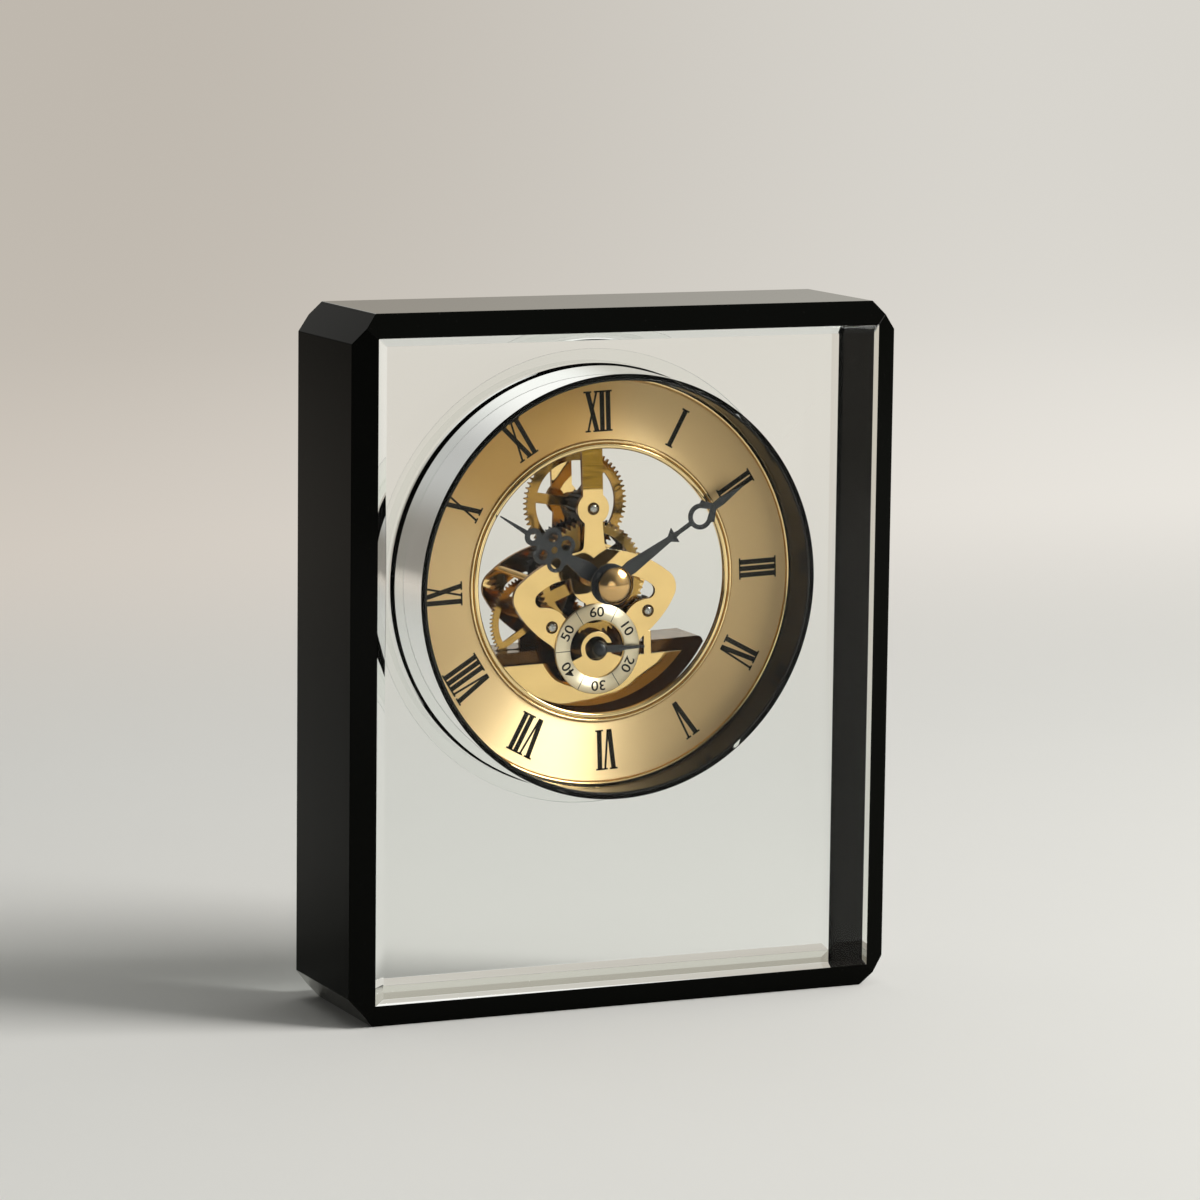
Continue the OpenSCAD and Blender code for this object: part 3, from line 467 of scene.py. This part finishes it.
def board_finish():
    """Green solder mask with paler copper tracks under it."""
    finish = Finish("board_green")
    x, _, z = finish.axes(finish.object_mm((0, 0, CLOCK_Z)))
    across, along = (value.math("FRACT", value) for value in (x * 0.9, z * 0.23))
    track = (abs(across - 0.5) < 0.12) * (along < 0.6)
    colour = finish.blend(track, rgb(0.012, 0.12, 0.04), rgb(0.05, 0.24, 0.07))
    raised = finish.shade(track, 0.03)
    return finish.close(finish.surface(base_color=colour, roughness=0.35, normal=raised))


DIAL_AT = (0, 0, CLOCK_Z)
DIAL_DEEP, DIAL_PALE = (0.68, 0.35, 0.06), (1.0, 0.76, 0.44)
SUB_DEEP, SUB_PALE = (0.84, 0.66, 0.42), (0.98, 0.87, 0.66)

finishes = {
    "clear_glass": crystal_finish(),
    "black_glass": black_glass_finish(),
    "case_black": lacquer_finish("case_black", (0.008, 0.007, 0.006), 0.08, 0.04, 0.0, 0.2),
    "grip_rubber": lacquer_finish("grip_rubber", (0.012, 0.012, 0.012), 0.7),
    "clear_window": clear_plastic_finish(),
    "dial_gilt": lathe_finish("dial_gilt", DIAL_AT, DIAL_DEEP, DIAL_PALE),
    "dial_champagne": lathe_finish("dial_champagne", SUB_AT, SUB_DEEP, SUB_PALE, 0.3, 0.25),
    "plate_gilt": plate_finish("plate_gilt", TOP),
    "wheel_brass": wheel_finish("wheel_brass", "hour_turn"),
    "bright_steel": metal_finish("bright_steel", (0.34, 0.33, 0.33), 0.15),
    "arbor_steel": metal_finish("arbor_steel", (0.5, 0.5, 0.52), 0.28),
    "wheel_black": lacquer_finish("wheel_black", (0.010, 0.009, 0.009), 0.16, 0.06, 0.0, 0.4),
    "hand_black": lacquer_finish("hand_black", (0.014, 0.015, 0.018), 0.22, 0.08, 0.2, 0.4),
    "dark_plastic": metal_finish("dark_plastic", BROWN, 0.1, 0.05, 0.5, 0.04, 0.8),
    "black_plastic": lacquer_finish("black_plastic", (0.015, 0.015, 0.015), 0.4),
    "white_plastic": lacquer_finish("white_plastic", (0.7, 0.68, 0.62), 0.4),
    "board_green": board_finish(),
    "copper_coil": coil_finish(),
    "spring_brass": metal_finish("spring_brass", BRASS, 0.25),
    "iron_grey": metal_finish("iron_grey", (0.35, 0.35, 0.37), 0.4),
}
front_plate_finish = plate_finish("plate_strap", STRAP_ROLLED)
# Painted shade: the top wheel gets a darker brass than the other wheels.
top_wheel_finish = wheel_finish("top_wheel_brass", "top_turn", SHADE_PAINTED_BRASS, TOP_DISC_Y - 0.05)
third_wheel_finish = wheel_finish("third_wheel_brass", "third_turn")
dome_finish = bearing_finish()
# Painted shade: the housing's faces that look front or back are a darker brown.
housing_finish = metal_finish("housing_brown", BROWN, 0.1, 0.05, 0.5, 0.04, 0.8, SHADE_PAINTED_BROWN)
bead_finish = metal_finish("bead_polish", (0.93, 0.68, 0.34), 0.1, 0.03, 0.05)
ink_finish = lacquer_finish("dial_ink", (0.012, 0.009, 0.006), 0.5, 0.05, 0.0, 0.12)


def piece_from(bm, name, body, slot, finish=None, replaces=(), flat=False, smooth_angle=35):
    """Makes a finished piece from a bmesh in millimetres and lets it ride on its body."""
    bmesh.ops.recalc_face_normals(bm, faces=bm.faces)
    bmesh.ops.scale(bm, verts=bm.verts, vec=(MM, MM, MM))
    mesh = bpy.data.meshes.new(name)
    bm.to_mesh(mesh)
    bm.free()
    piece = bpy.data.objects.new(name, mesh)
    bpy.context.scene.collection.objects.link(piece)
    mesh.materials.append(finish or finishes[slot])
    if not flat:
        mesh.shade_smooth()
        mesh.set_sharp_from_angle(angle=math.radians(smooth_angle))
    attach(piece, body)
    if replaces:
        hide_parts(*replaces)
    return piece


def keep_flats(piece):
    """Keeps broad faces flat to the eye while narrow bevels round off between them."""
    weighted = piece.modifiers.new("flats", "WEIGHTED_NORMAL")
    weighted.keep_sharp = True
    weighted.weight = 100


def soften(bm, edges, width, segments=2):
    if edges:
        rounding = {"offset": width, "offset_type": "OFFSET", "segments": segments, "profile": 0.5}
        bmesh.ops.bevel(bm, geom=edges, affect="EDGES", clamp_overlap=True, material=-1, **rounding)


def dressed(node, edge=0.06, segments=2, finish=None, sharp=40):
    """A copy of a node with its edges broken, as a polished part has them."""
    bm = bmesh.new()
    bm.from_mesh(frame["nodes"][node].data)
    bmesh.ops.scale(bm, verts=bm.verts, vec=(1 / MM, 1 / MM, 1 / MM))
    bmesh.ops.remove_doubles(bm, verts=bm.verts, dist=MERGE)
    bmesh.ops.dissolve_limit(bm, angle_limit=math.radians(0.5), verts=bm.verts, edges=bm.edges)
    corners = [e for e in bm.edges if e.is_manifold and e.calc_face_angle() > math.radians(sharp)]
    soften(bm, corners, edge, segments)
    name = node + "_finished"
    keep_flats(piece_from(bm, name, body_of[node], slot_of[node], finish, [node], smooth_angle=50))


def spun(profile, seat, steps, closed=True):
    """A bmesh turned about the y axis from [radius, y] points, then seated."""
    bm = bmesh.new()
    points = [bm.verts.new((radius, y, 0)) for radius, y in profile]
    pairs = zip(points, points[1:] + (points[:1] if closed else []))
    edges = [bm.edges.new(pair) for pair in pairs]
    bmesh.ops.spin(bm, geom=points + edges, axis=(0, 1, 0), angle=math.tau, steps=steps, use_merge=True)
    bmesh.ops.remove_doubles(bm, verts=bm.verts, dist=MERGE)
    bmesh.ops.transform(bm, matrix=seat, verts=bm.verts)
    return bm


def turned(name, profile, slot, finish=None, replaces=(), body="insert", seat=SEAT, steps=ROUND,
           closed=True, angle=35):
    """A finished piece turned about the clock axis, or about the axis of its seat."""
    bm = spun(profile, seat, steps, closed)
    piece_from(bm, name, body, slot, finish, replaces, smooth_angle=angle)


def arc(centre, radius, start, end, steps):
    angles = [math.radians(start + (end - start) * step / steps) for step in range(steps + 1)]
    return [(centre[0] + radius * math.cos(a), centre[1] + radius * math.sin(a)) for a in angles]


# Glass block


def cut_off(bm, point, normal):
    """Cuts away what lies beyond a plane and closes the cut."""
    geometry = bm.verts[:] + bm.edges[:] + bm.faces[:]
    plane = {"plane_co": point, "plane_no": normal, "clear_outer": True}
    cut = bmesh.ops.bisect_plane(bm, geom=geometry, dist=1e-5, **plane)
    rim = [item for item in cut["geom_cut"] if isinstance(item, bmesh.types.BMEdge)]
    if rim:
        bmesh.ops.contextual_create(bm, geom=rim)


def glass_form():
    """The whole block with its bevels and cut corners, as one solid."""
    bm = bmesh.new()
    bmesh.ops.create_cube(bm, size=1)
    bmesh.ops.scale(bm, verts=bm.verts, vec=(RIGHT - LEFT, BACK - FRONT, TOP))
    bmesh.ops.translate(bm, verts=bm.verts, vec=(0, 0, TOP / 2))
    for across in (-1, 1):
        end = TOP if across > 0 else 0
        for depth in (-1, 1):
            start = depth * (BACK - BEVEL_D)
            cut_off(bm, (across * RIGHT, start, 0), (across * BEVEL_D, depth * BEVEL_W, 0))
            cut_off(bm, (0, start, end), (0, depth * BEVEL_W, across * BEVEL_D))
        for up, end in ((-1, 0), (1, TOP)):
            cut_off(bm, (across * (RIGHT - CORNER_X), 0, end), (across * CORNER_Z, 0, up * CORNER_X))
    return bm


def block_part(planes):
    """A part of the block: what lies inside all of the given planes."""
    bm = glass_form()
    for point, normal in planes:
        cut_off(bm, point, normal)
    side = RIGHT - PLATE_GLASS

    def bonded(vert):
        across = abs(abs(vert.co.x) - side) < 0.1 and -TINY < vert.co.z < TOP + TINY
        ends = min(abs(vert.co.z - PLATE_GLASS), abs(vert.co.z - TOP + PLATE_GLASS)) < 0.1
        return across or (ends and abs(vert.co.x) < side + 0.1)

    edges = [e for e in bm.edges if e.calc_face_angle(0) > 0.1 and not all(bonded(v) for v in e.verts)]
    soften(bm, edges, POLISH_EDGE, 2)
    return bm


def make_block():
    """The crystal and its four black plates, each with a hair of air between them."""
    side = RIGHT - PLATE_GLASS
    gap = BONDED_GAP
    out, into = (1, 0, 0), (-1, 0, 0)
    up, down = (0, 0, 1), (0, 0, -1)
    base, lid = PLATE_GLASS, TOP - PLATE_GLASS
    between = [((side, 0, 0), out), ((-side, 0, 0), into)]
    plates = {
        "left_plate": [((-side - gap, 0, 0), out)],
        "right_plate": [((side + gap, 0, 0), into)],
        "top_plate": between + [((0, 0, lid + gap), down)],
        "bottom_plate": between + [((0, 0, base - gap), up)],
    }
    for node, planes in plates.items():
        name = node + "_polished"
        piece_from(block_part(planes), name, "block", "black_glass", replaces=[node], flat=True)
    crystal = block_part(between + [((0, 0, lid), up), ((0, 0, base), down)])
    name = "crystal_polished"
    bored(piece_from(crystal, name, "block", "clear_glass", replaces=["crystal_block"], flat=True))


def bored(piece):
    """Cuts the blind bore into the crystal from behind, with its edges broken."""
    chamfer = 0.25
    profile = [(0, FLOOR_Y), (BORE_R - chamfer, FLOOR_Y), (BORE_R, FLOOR_Y + chamfer)]
    profile += [(BORE_R, BACK - chamfer), (BORE_R + 2 * chamfer, BACK + chamfer), (0, BACK + chamfer)]
    bore = spun(profile, Matrix.Translation((0, 0, CLOCK_Z)), ROUND, closed=False)
    bmesh.ops.recalc_face_normals(bore, faces=bore.faces)
    bmesh.ops.scale(bore, verts=bore.verts, vec=(MM, MM, MM))
    drill_mesh = bpy.data.meshes.new("bore_drill")
    bore.to_mesh(drill_mesh)
    bore.free()
    drill = bpy.data.objects.new("bore_drill", drill_mesh)
    bpy.context.scene.collection.objects.link(drill)
    cut = piece.modifiers.new("bore", "BOOLEAN")
    cut.operation = "DIFFERENCE"
    cut.solver = "EXACT"
    cut.object = drill
    shaped = bpy.data.meshes.new_from_object(piece.evaluated_get(bpy.context.evaluated_depsgraph_get()))
    piece.modifiers.clear()
    piece.data = shaped
    bpy.data.objects.remove(drill)
    for face in shaped.polygons:
        middle = Vector((face.center.x, 0, face.center.z - CLOCK_Z * MM))
        face.use_smooth = middle.length < (BORE_R + 0.1) * MM and abs(face.normal.y) < 0.1
    shaped.set_sharp_from_angle(angle=math.radians(20))


make_block()


# Insert case, dial and numerals


def make_case():
    """The thin black tube with its rounded front lip."""
    outer = BORE_R - GRIP_WALL
    inner = outer - CASE_WALL
    lip = 0.25
    profile = [(outer, BACK), (outer, CASE_Y + lip)]
    profile += arc((outer - lip, CASE_Y + lip), lip, 0, -90, 5)[1:]
    profile += arc((inner + lip, CASE_Y + lip), lip, 270, 180, 5)
    profile += [(inner, BACK)]
    turned("case_lacquered", profile, "case_black", replaces=["case_tube"])


def make_flange():
    """The clear ring behind the block, with a hair of air between it and the glass."""
    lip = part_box("rear_flange")[1].y / MM
    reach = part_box("rear_flange")[1].x / MM
    inner = BORE_R - GRIP_WALL - CASE_WALL
    outer = BORE_R - GRIP_WALL + FLANGE_RISE
    step, edge, start = BACK + FLANGE_T, 0.4, BACK + 0.02
    profile = [(inner, start), (reach - 0.15, start), (reach, start + 0.15)]
    profile += arc((reach - edge, step - edge), edge, 0, 90, 5)
    profile += [(outer + 0.3, step)] + arc((outer + 0.3, step + 0.3), 0.3, 270, 180, 4)
    profile += arc((outer - edge, lip - edge), edge, 0, 90, 5)
    profile += [(inner - 1.2, lip), (inner - 1.2, lip - LIP_T), (inner, lip - LIP_T)]
    turned("rear_flange_clear", profile, "clear_window", replaces=["rear_flange"])


def make_grip():
    """The ribbed rubber ring between the case and the bore."""
    last = BACK - 0.12
    inner, outer = BORE_R - GRIP_WALL + 0.05, BORE_R - 0.05
    pitch = GRIP_LEN / 3
    first = last - GRIP_LEN + 0.1
    valley = outer - 0.35
    profile = [(inner, last), (inner, first)]
    for rib in range(3):
        start = first + rib * pitch
        profile += [(valley, start), (valley, start + 0.25), (outer, start + 0.5), (outer, start + 0.75)]
    profile += [(valley, last - 0.05), (valley, last)]
    turned("grip_ribs", profile, "grip_rubber", replaces=["grip_ring"])


def bead_profile(centre_r, radius, back, squash=1.0):
    """Half-round ridge standing on the dial, with its foot at the given depth."""
    half_round = arc((centre_r, DIAL_Y), radius, 180, 360, 12)
    ridge = [(r, DIAL_Y + (y - DIAL_Y) * squash) for r, y in half_round]
    return ridge + [(centre_r + radius, back), (centre_r - radius, back)]


def make_dial():
    """The satin numeral ring with two beads at its opening and one at its rim."""
    outer = BORE_R - GRIP_WALL - CASE_WALL - 0.05
    back = DIAL_Y + DIAL_T
    groove = 0.45
    flat_in = DIAL_IN_R + BEAD_W + 0.12
    flat_out = outer - 1.05
    sunk = DIAL_Y + groove
    plate = [(DIAL_IN_R + 0.1, back), (DIAL_IN_R + 0.1, sunk), (flat_in - 0.14, sunk), (flat_in, DIAL_Y)]
    plate += [(flat_out, DIAL_Y), (flat_out + 0.02, sunk), (outer, sunk), (outer, back)]
    turned("dial_satin", plate, "dial_gilt", replaces=["dial_ring"], angle=20)
    inner_r, second_r = 0.58, 0.3
    foot = back - 0.2
    inner = bead_profile(DIAL_IN_R + inner_r, inner_r, foot, BEAD_H / inner_r)
    turned("opening_bead", inner, "dial_gilt", bead_finish, angle=50)
    second = bead_profile(DIAL_IN_R + 2 * inner_r + 0.12 + second_r, second_r, foot)
    turned("opening_step", second, "dial_gilt", bead_finish, angle=50)
    rim_r = 0.36
    rim = bead_profile(outer - rim_r - 0.02, rim_r, foot)
    turned("outer_bead", rim, "dial_gilt", bead_finish, angle=50)


NUMERAL_H = 8.7
NUMERAL_R = 36.3
INK_T = 0.03
THICK = 1.05
THIN = 0.45
SERIF_T = 0.36
SERIF_REACH = 0.38


def bar(bm, foot, head, width, place, bottom=0.0, top=NUMERAL_H):
    """A slanting stroke with level ends, from foot to head, laid on the dial."""
    height = top - bottom
    lean = Matrix.Identity(4)
    lean[0][1] = (head - foot) / height
    shape = Matrix.Translation(((foot + head) / 2, (bottom + top) / 2 - NUMERAL_H / 2, 0)) @ lean
    shape = shape @ Matrix.Diagonal((width, height, INK_T, 1))
    bmesh.ops.create_cube(bm, size=1, matrix=place @ shape)


def serif(bm, x, at_top, place, width):
    """A short level foot across the end of a stroke."""
    level = NUMERAL_H - SERIF_T if at_top else 0.0
    bar(bm, x, x, width + 2 * SERIF_REACH, place, level, level + SERIF_T)


def letter_i(bm, x, place):
    bar(bm, x, x, THICK, place)
    serif(bm, x, True, place, THICK)
    serif(bm, x, False, place, THICK)


def letter_v(bm, x, place):
    half = 1.0
    bar(bm, x - 0.1, x - half, THICK, place)
    bar(bm, x + 0.25, x + half, THIN, place)
    serif(bm, x - half, True, place, THICK)
    serif(bm, x + half, True, place, THIN)


def letter_x(bm, x, place):
    half = 1.05
    bar(bm, x + half, x - half, THICK, place)
    bar(bm, x - half, x + half, THIN, place)
    for end in (-1, 1):
        serif(bm, x + end * half, end < 0, place, THICK)
        serif(bm, x + end * half, end > 0, place, THIN)


LETTERS = {"I": (letter_i, 1.4), "V": (letter_v, 3.0), "X": (letter_x, 3.1)}
HOURS = ["XII", "I", "II", "III", "IV", "V", "VI", "VII", "VIII", "IX", "X", "XI"]


def make_numerals():
    """The Roman hours, each read from the middle of the dial."""
    bm = bmesh.new()
    for hour, word in enumerate(HOURS):
        turn = Matrix.Rotation(-math.tau * hour / len(HOURS), 4, "Z")
        lift = Matrix.Translation((0, 0, -DIAL_Y + INK_T / 2))
        place = SEAT @ FACING_FRONT @ lift @ turn @ Matrix.Translation((0, NUMERAL_R, 0))
        x = -sum(LETTERS[letter][1] for letter in word) / 2
        for letter in word:
            draw, width = LETTERS[letter]
            draw(bm, x + width / 2, place)
            x += width
    piece_from(bm, "dial_numerals", "insert", "dial_gilt", ink_finish, flat=True)


def make_sub_dial():
    """The seconds dial with its rounded rims, dividers and figures."""
    centre = SEAT @ Matrix.Translation((0, 0, -SECONDS_DROP))
    edge = 0.12
    back = PLATE_Y
    profile = [(SUB_IN_R, back), (SUB_IN_R, SUB_Y + edge), (SUB_IN_R + edge, SUB_Y)]
    profile += [(SUB_R - edge, SUB_Y), (SUB_R, SUB_Y + edge), (SUB_R, back)]
    turned("sub_dial_satin", profile, "dial_champagne", replaces=["sub_dial"], seat=centre, angle=50)
    bm = bmesh.new()
    upright = centre @ FACING_FRONT @ Matrix.Translation((0, 0, -SUB_Y + INK_T / 2))
    middle = (SUB_R + SUB_IN_R) / 2
    count = 6

    def outer_place(step):
        turn = Matrix.Rotation(-math.tau * step / count, 4, "Z")
        return upright @ turn @ Matrix.Translation((0, middle, 0))

    line = Matrix.Diagonal((0.14, SUB_R - SUB_IN_R - 0.1, INK_T, 1))
    for step in range(count):
        bmesh.ops.create_cube(bm, size=1, matrix=outer_place(step + 0.5) @ line)
    piece_from(bm, "sub_dial_dividers", "insert", "dial_champagne", ink_finish, flat=True)
    for step, figure in enumerate(["60", "10", "20", "30", "40", "50"]):
        curve = bpy.data.curves.new("figure", "FONT")
        curve.body = figure
        curve.size = 3.0
        curve.offset = 0.035
        curve.align_x = "CENTER"
        curve.extrude = INK_T / 2
        text = bpy.data.objects.new("figure", curve)
        bm = bmesh.new()
        bm.from_mesh(bpy.data.meshes.new_from_object(text))
        bpy.data.objects.remove(text)
        bmesh.ops.remove_doubles(bm, verts=bm.verts, dist=MERGE)
        tall = max(vert.co.y for vert in bm.verts)
        bmesh.ops.translate(bm, verts=bm.verts, vec=(0, -tall / 2, 0))
        wider = Matrix.Diagonal((1.16, 1.0, 1, 1))
        bmesh.ops.transform(bm, matrix=outer_place(step) @ wider, verts=bm.verts)
        piece_from(bm, "sub_dial_figure_" + figure, "insert", "dial_champagne", ink_finish, flat=True)


make_case()
make_flange()
make_grip()
make_dial()
make_numerals()
make_sub_dial()


# Movement, motor and hands


def make_bearing_domes():
    """Domes over the three pivots, each standing in its ring."""
    rim, dome, step = 1.35, 0.9, 0.12
    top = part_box("bearing_caps")[0].y / MM
    low = PLATE_Y - step
    for joint in ("top_turn", "third_turn", "setting_turn"):
        at = joint_at[joint]
        profile = [(0, top + 0.12), (0.16, top + 0.04), (0.24, top)]
        for degrees in range(30, 91, 12):
            angle = math.radians(degrees)
            profile.append((dome * math.sin(angle), low + (top - low) * math.cos(angle)))
        profile += [(dome, low), (rim - 0.1, low), (rim, low + 0.06), (rim, PLATE_Y), (0, PLATE_Y)]
        seat = Matrix.Translation((at.x, 0, at.z))
        turned(joint + "_dome", profile, "bright_steel", dome_finish, ["bearing_caps"], seat=seat,
               steps=48, closed=False)


def make_cap():
    """The gilt cap over the hands, a slice of a ball on a low rim."""
    near, far = (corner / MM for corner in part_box("gilt_cap"))
    reach = (far.x - near.x) / 2
    rim = 0.3
    rise = far.y - rim - near.y
    ball = (reach ** 2 + rise ** 2) / (2 * rise)
    edge = math.asin(reach / ball)
    steps = 20
    profile = [(0, far.y), (reach - 0.12, far.y), (reach, far.y - 0.12)]
    for step in range(steps, -1, -1):
        angle = edge * step / steps
        profile.append((ball * math.sin(angle), near.y + ball - ball * math.cos(angle)))
    turned("cap_ball", profile, "plate_gilt", cap_finish(), ["gilt_cap"], body_of["gilt_cap"],
           closed=False)


make_bearing_domes()
make_cap()
dressed("front_plate", 0.24, 2, front_plate_finish)
for node in ("rear_plate", "base_plate"):
    dressed(node, 0.2, 2)
dressed("top_wheel", 0.05, 1, top_wheel_finish)
dressed("third_wheel", 0.05, 1, third_wheel_finish)
for node in ("centre_wheel", "hour_wheel", "hour_hand", "minute_hand", "seconds_hand"):
    dressed(node, 0.05, 1)
dressed("motor_housing", 0.08, 2, housing_finish)
for node in ("hand_collar", "housing_lid", "battery_hatch", "setting_knob"):
    dressed(node, 0.08, 2)

for node, piece in frame["nodes"].items():
    piece.data.materials.clear()
    piece.data.materials.append(finishes[slot_of[node]])


# Table, light and camera


MIRROR_GLOW_AT = (-170.0, -600.0, 0.0)


def paper_finish():
    """Pale matt paper. Far behind the clock, camera, glossy and transmission rays see painted studio
    light on it: a glow that is darker to the left and further back, near black far to the left, and
    brighter higher up.

    In mirrors only, a patch of the paper in front of the clock on the left glows white, a painted
    reflection.
    """
    finish = Finish("paper")
    place = finish.object_mm()
    x, y, z = finish.axes(place)
    grain = finish.noise(place, 0.02, 4)
    paper = finish.blend(grain * 0.05, rgb(0.78, 0.775, 0.75), rgb(0.6, 0.6, 0.58))
    matt = finish.surface(base_color=paper, roughness=0.9, specular_ior_level=0.1)
    # Painted light far behind the clock: darker to the left and further back, near black far to the
    # left, brighter higher up.
    aside = x * math.cos(CAMERA_AZIMUTH) + y * math.sin(CAMERA_AZIMUTH)
    rightward = finish.ramp(aside, -300.0, 300.0)
    wall_painted_light = finish.blend(rightward, rgb(0.64, 0.585, 0.52), rgb(0.84, 0.81, 0.755))
    lit = finish.blend(finish.ramp(y, 400.0, 1900.0, 0.0, 0.20), wall_painted_light, rgb(0.05, 0.06, 0.04))
    lit = finish.blend(finish.ramp(z, 300.0, 900.0), lit, rgb(1.0, 0.99, 0.96))
    lit = finish.blend(finish.ramp(aside, -500.0, -1400.0, 0.0, 0.5), lit, rgb(0.01, 0.01, 0.01))
    glow = finish.node("Emission", inputs={"Color": lit, "Strength": 1.0})
    mirrored = finish.seen_by("Glossy")
    seen = finish.seen_by("Camera").larger(mirrored).larger(finish.seen_by("Transmission"))
    shown = mixed(finish, finish.ramp(y, 250.0, 750.0) * seen, matt, glow)
    white = finish.node("Emission", inputs={"Color": rgb(1.0, 0.98, 0.94), "Strength": 1.0})
    # Painted reflection: a white glow on the paper that only glossy rays see.
    mirror_glow = finish.ramp(finish.length(finish.object_mm(MIRROR_GLOW_AT)), 380.0, 150.0) * mirrored
    return finish.close(mixed(finish, mirror_glow, shown, white))


def make_stage():
    """A pale sheet that lies under the clock and curves up behind it, sized in metres."""
    reach, front, depth, height, bend = 4.0, -3.0, 2.2, 3.0, 0.8
    bm = bmesh.new()
    line = [(front, 0.0)] + arc((depth - bend, bend), bend, -90, 0, 16) + [(depth, height)]
    points = [bm.verts.new((-reach, y, z)) for y, z in line]
    edges = [bm.edges.new(pair) for pair in zip(points, points[1:])]
    bmesh.ops.extrude_edge_only(bm, edges=edges)
    moved = [vert for vert in bm.verts if vert not in points]
    bmesh.ops.translate(bm, verts=moved, vec=(2 * reach, 0, 0))
    bmesh.ops.recalc_face_normals(bm, faces=bm.faces)
    mesh = bpy.data.meshes.new("paper_sweep")
    bm.to_mesh(mesh)
    bm.free()
    mesh.shade_smooth()
    mesh.materials.append(paper_finish())
    sweep = bpy.data.objects.new("paper_sweep", mesh)
    bpy.context.scene.collection.objects.link(sweep)


def lamp(name, toward, distance, size, power, colour=(1, 1, 1), target=(0, 0, 0.08)):
    """A soft box that shines on the clock from the direction given, in metres and watts."""
    light = bpy.data.lights.new(name, "AREA")
    light.shape = "RECTANGLE"
    light.size, light.size_y = size
    light.energy = power
    light.color = colour
    outward = Vector(toward).normalized()
    place = Vector(target) + outward * distance
    facing = outward.to_track_quat("Z", "Y").to_matrix().to_4x4()
    holder = bpy.data.objects.new(name, light)
    holder.matrix_world = Matrix.Translation(place) @ facing
    bpy.context.scene.collection.objects.link(holder)


def make_light():
    """One large soft box from the right, in a studio that is dark in front and to the left."""
    lamp("key_softbox", (0.68, -0.42, 0.66), 1.5, (0.68, 0.68), 21, (1.0, 0.985, 0.96))
    sky = Sky("studio")
    place = sky.node("TexCoord", out="Generated")

    def toward(direction):
        values = {0: place, 1: Vector(direction).normalized()}
        return sky.node("VectorMath", {"operation": "DOT_PRODUCT"}, values, out=1)

    room = sky.ramp(toward((0.75, 0.25, 0.6)), -0.1, 0.95, 0.05, 0.6)
    window = sky.ramp(toward((0.5, -0.8, 0.35)), 0.85, 0.97, 0.0, 0.3)
    door = sky.ramp(toward((-0.25, -0.96, 0.04)), 0.93, 0.99, 0.0, 1.4)
    light = {"Color": rgb(0.97, 0.98, 0.95), "Strength": room + window + door}
    bpy.context.scene.world = sky.close(sky.node("Background", inputs=light))


def make_camera():
    """The photograph's view, solved from the corners of the block."""
    elevation, roll = (math.radians(angle) for angle in (8.277, 0.687))
    lens_mm, sensor_mm = 150.6, 36.0
    offset = Vector((0.96, 10.54, 1079.3)) * MM
    middle = Vector((0, 0, TOP / 2)) * MM
    right = Vector((math.cos(CAMERA_AZIMUTH), math.sin(CAMERA_AZIMUTH), 0))
    level = Vector((right.y, -right.x, 0))
    back = level * math.cos(elevation) + Vector((0, 0, math.sin(elevation)))
    up = back.cross(right)
    turned_right = right * math.cos(roll) + up * math.sin(roll)
    turned_up = up * math.cos(roll) - right * math.sin(roll)
    axes = Matrix((turned_right, turned_up, back)).transposed()
    data = bpy.data.cameras.new("camera")
    data.lens = lens_mm
    data.sensor_width = sensor_mm
    camera = bpy.data.objects.new("camera", data)
    camera.matrix_world = Matrix.Translation(middle + axes @ offset) @ axes.to_4x4()
    bpy.context.scene.collection.objects.link(camera)
    bpy.context.scene.camera = camera


make_stage()
make_light()
make_camera()
bpy.context.scene.view_settings.view_transform = "Standard"

bpy.context.view_layer.update()
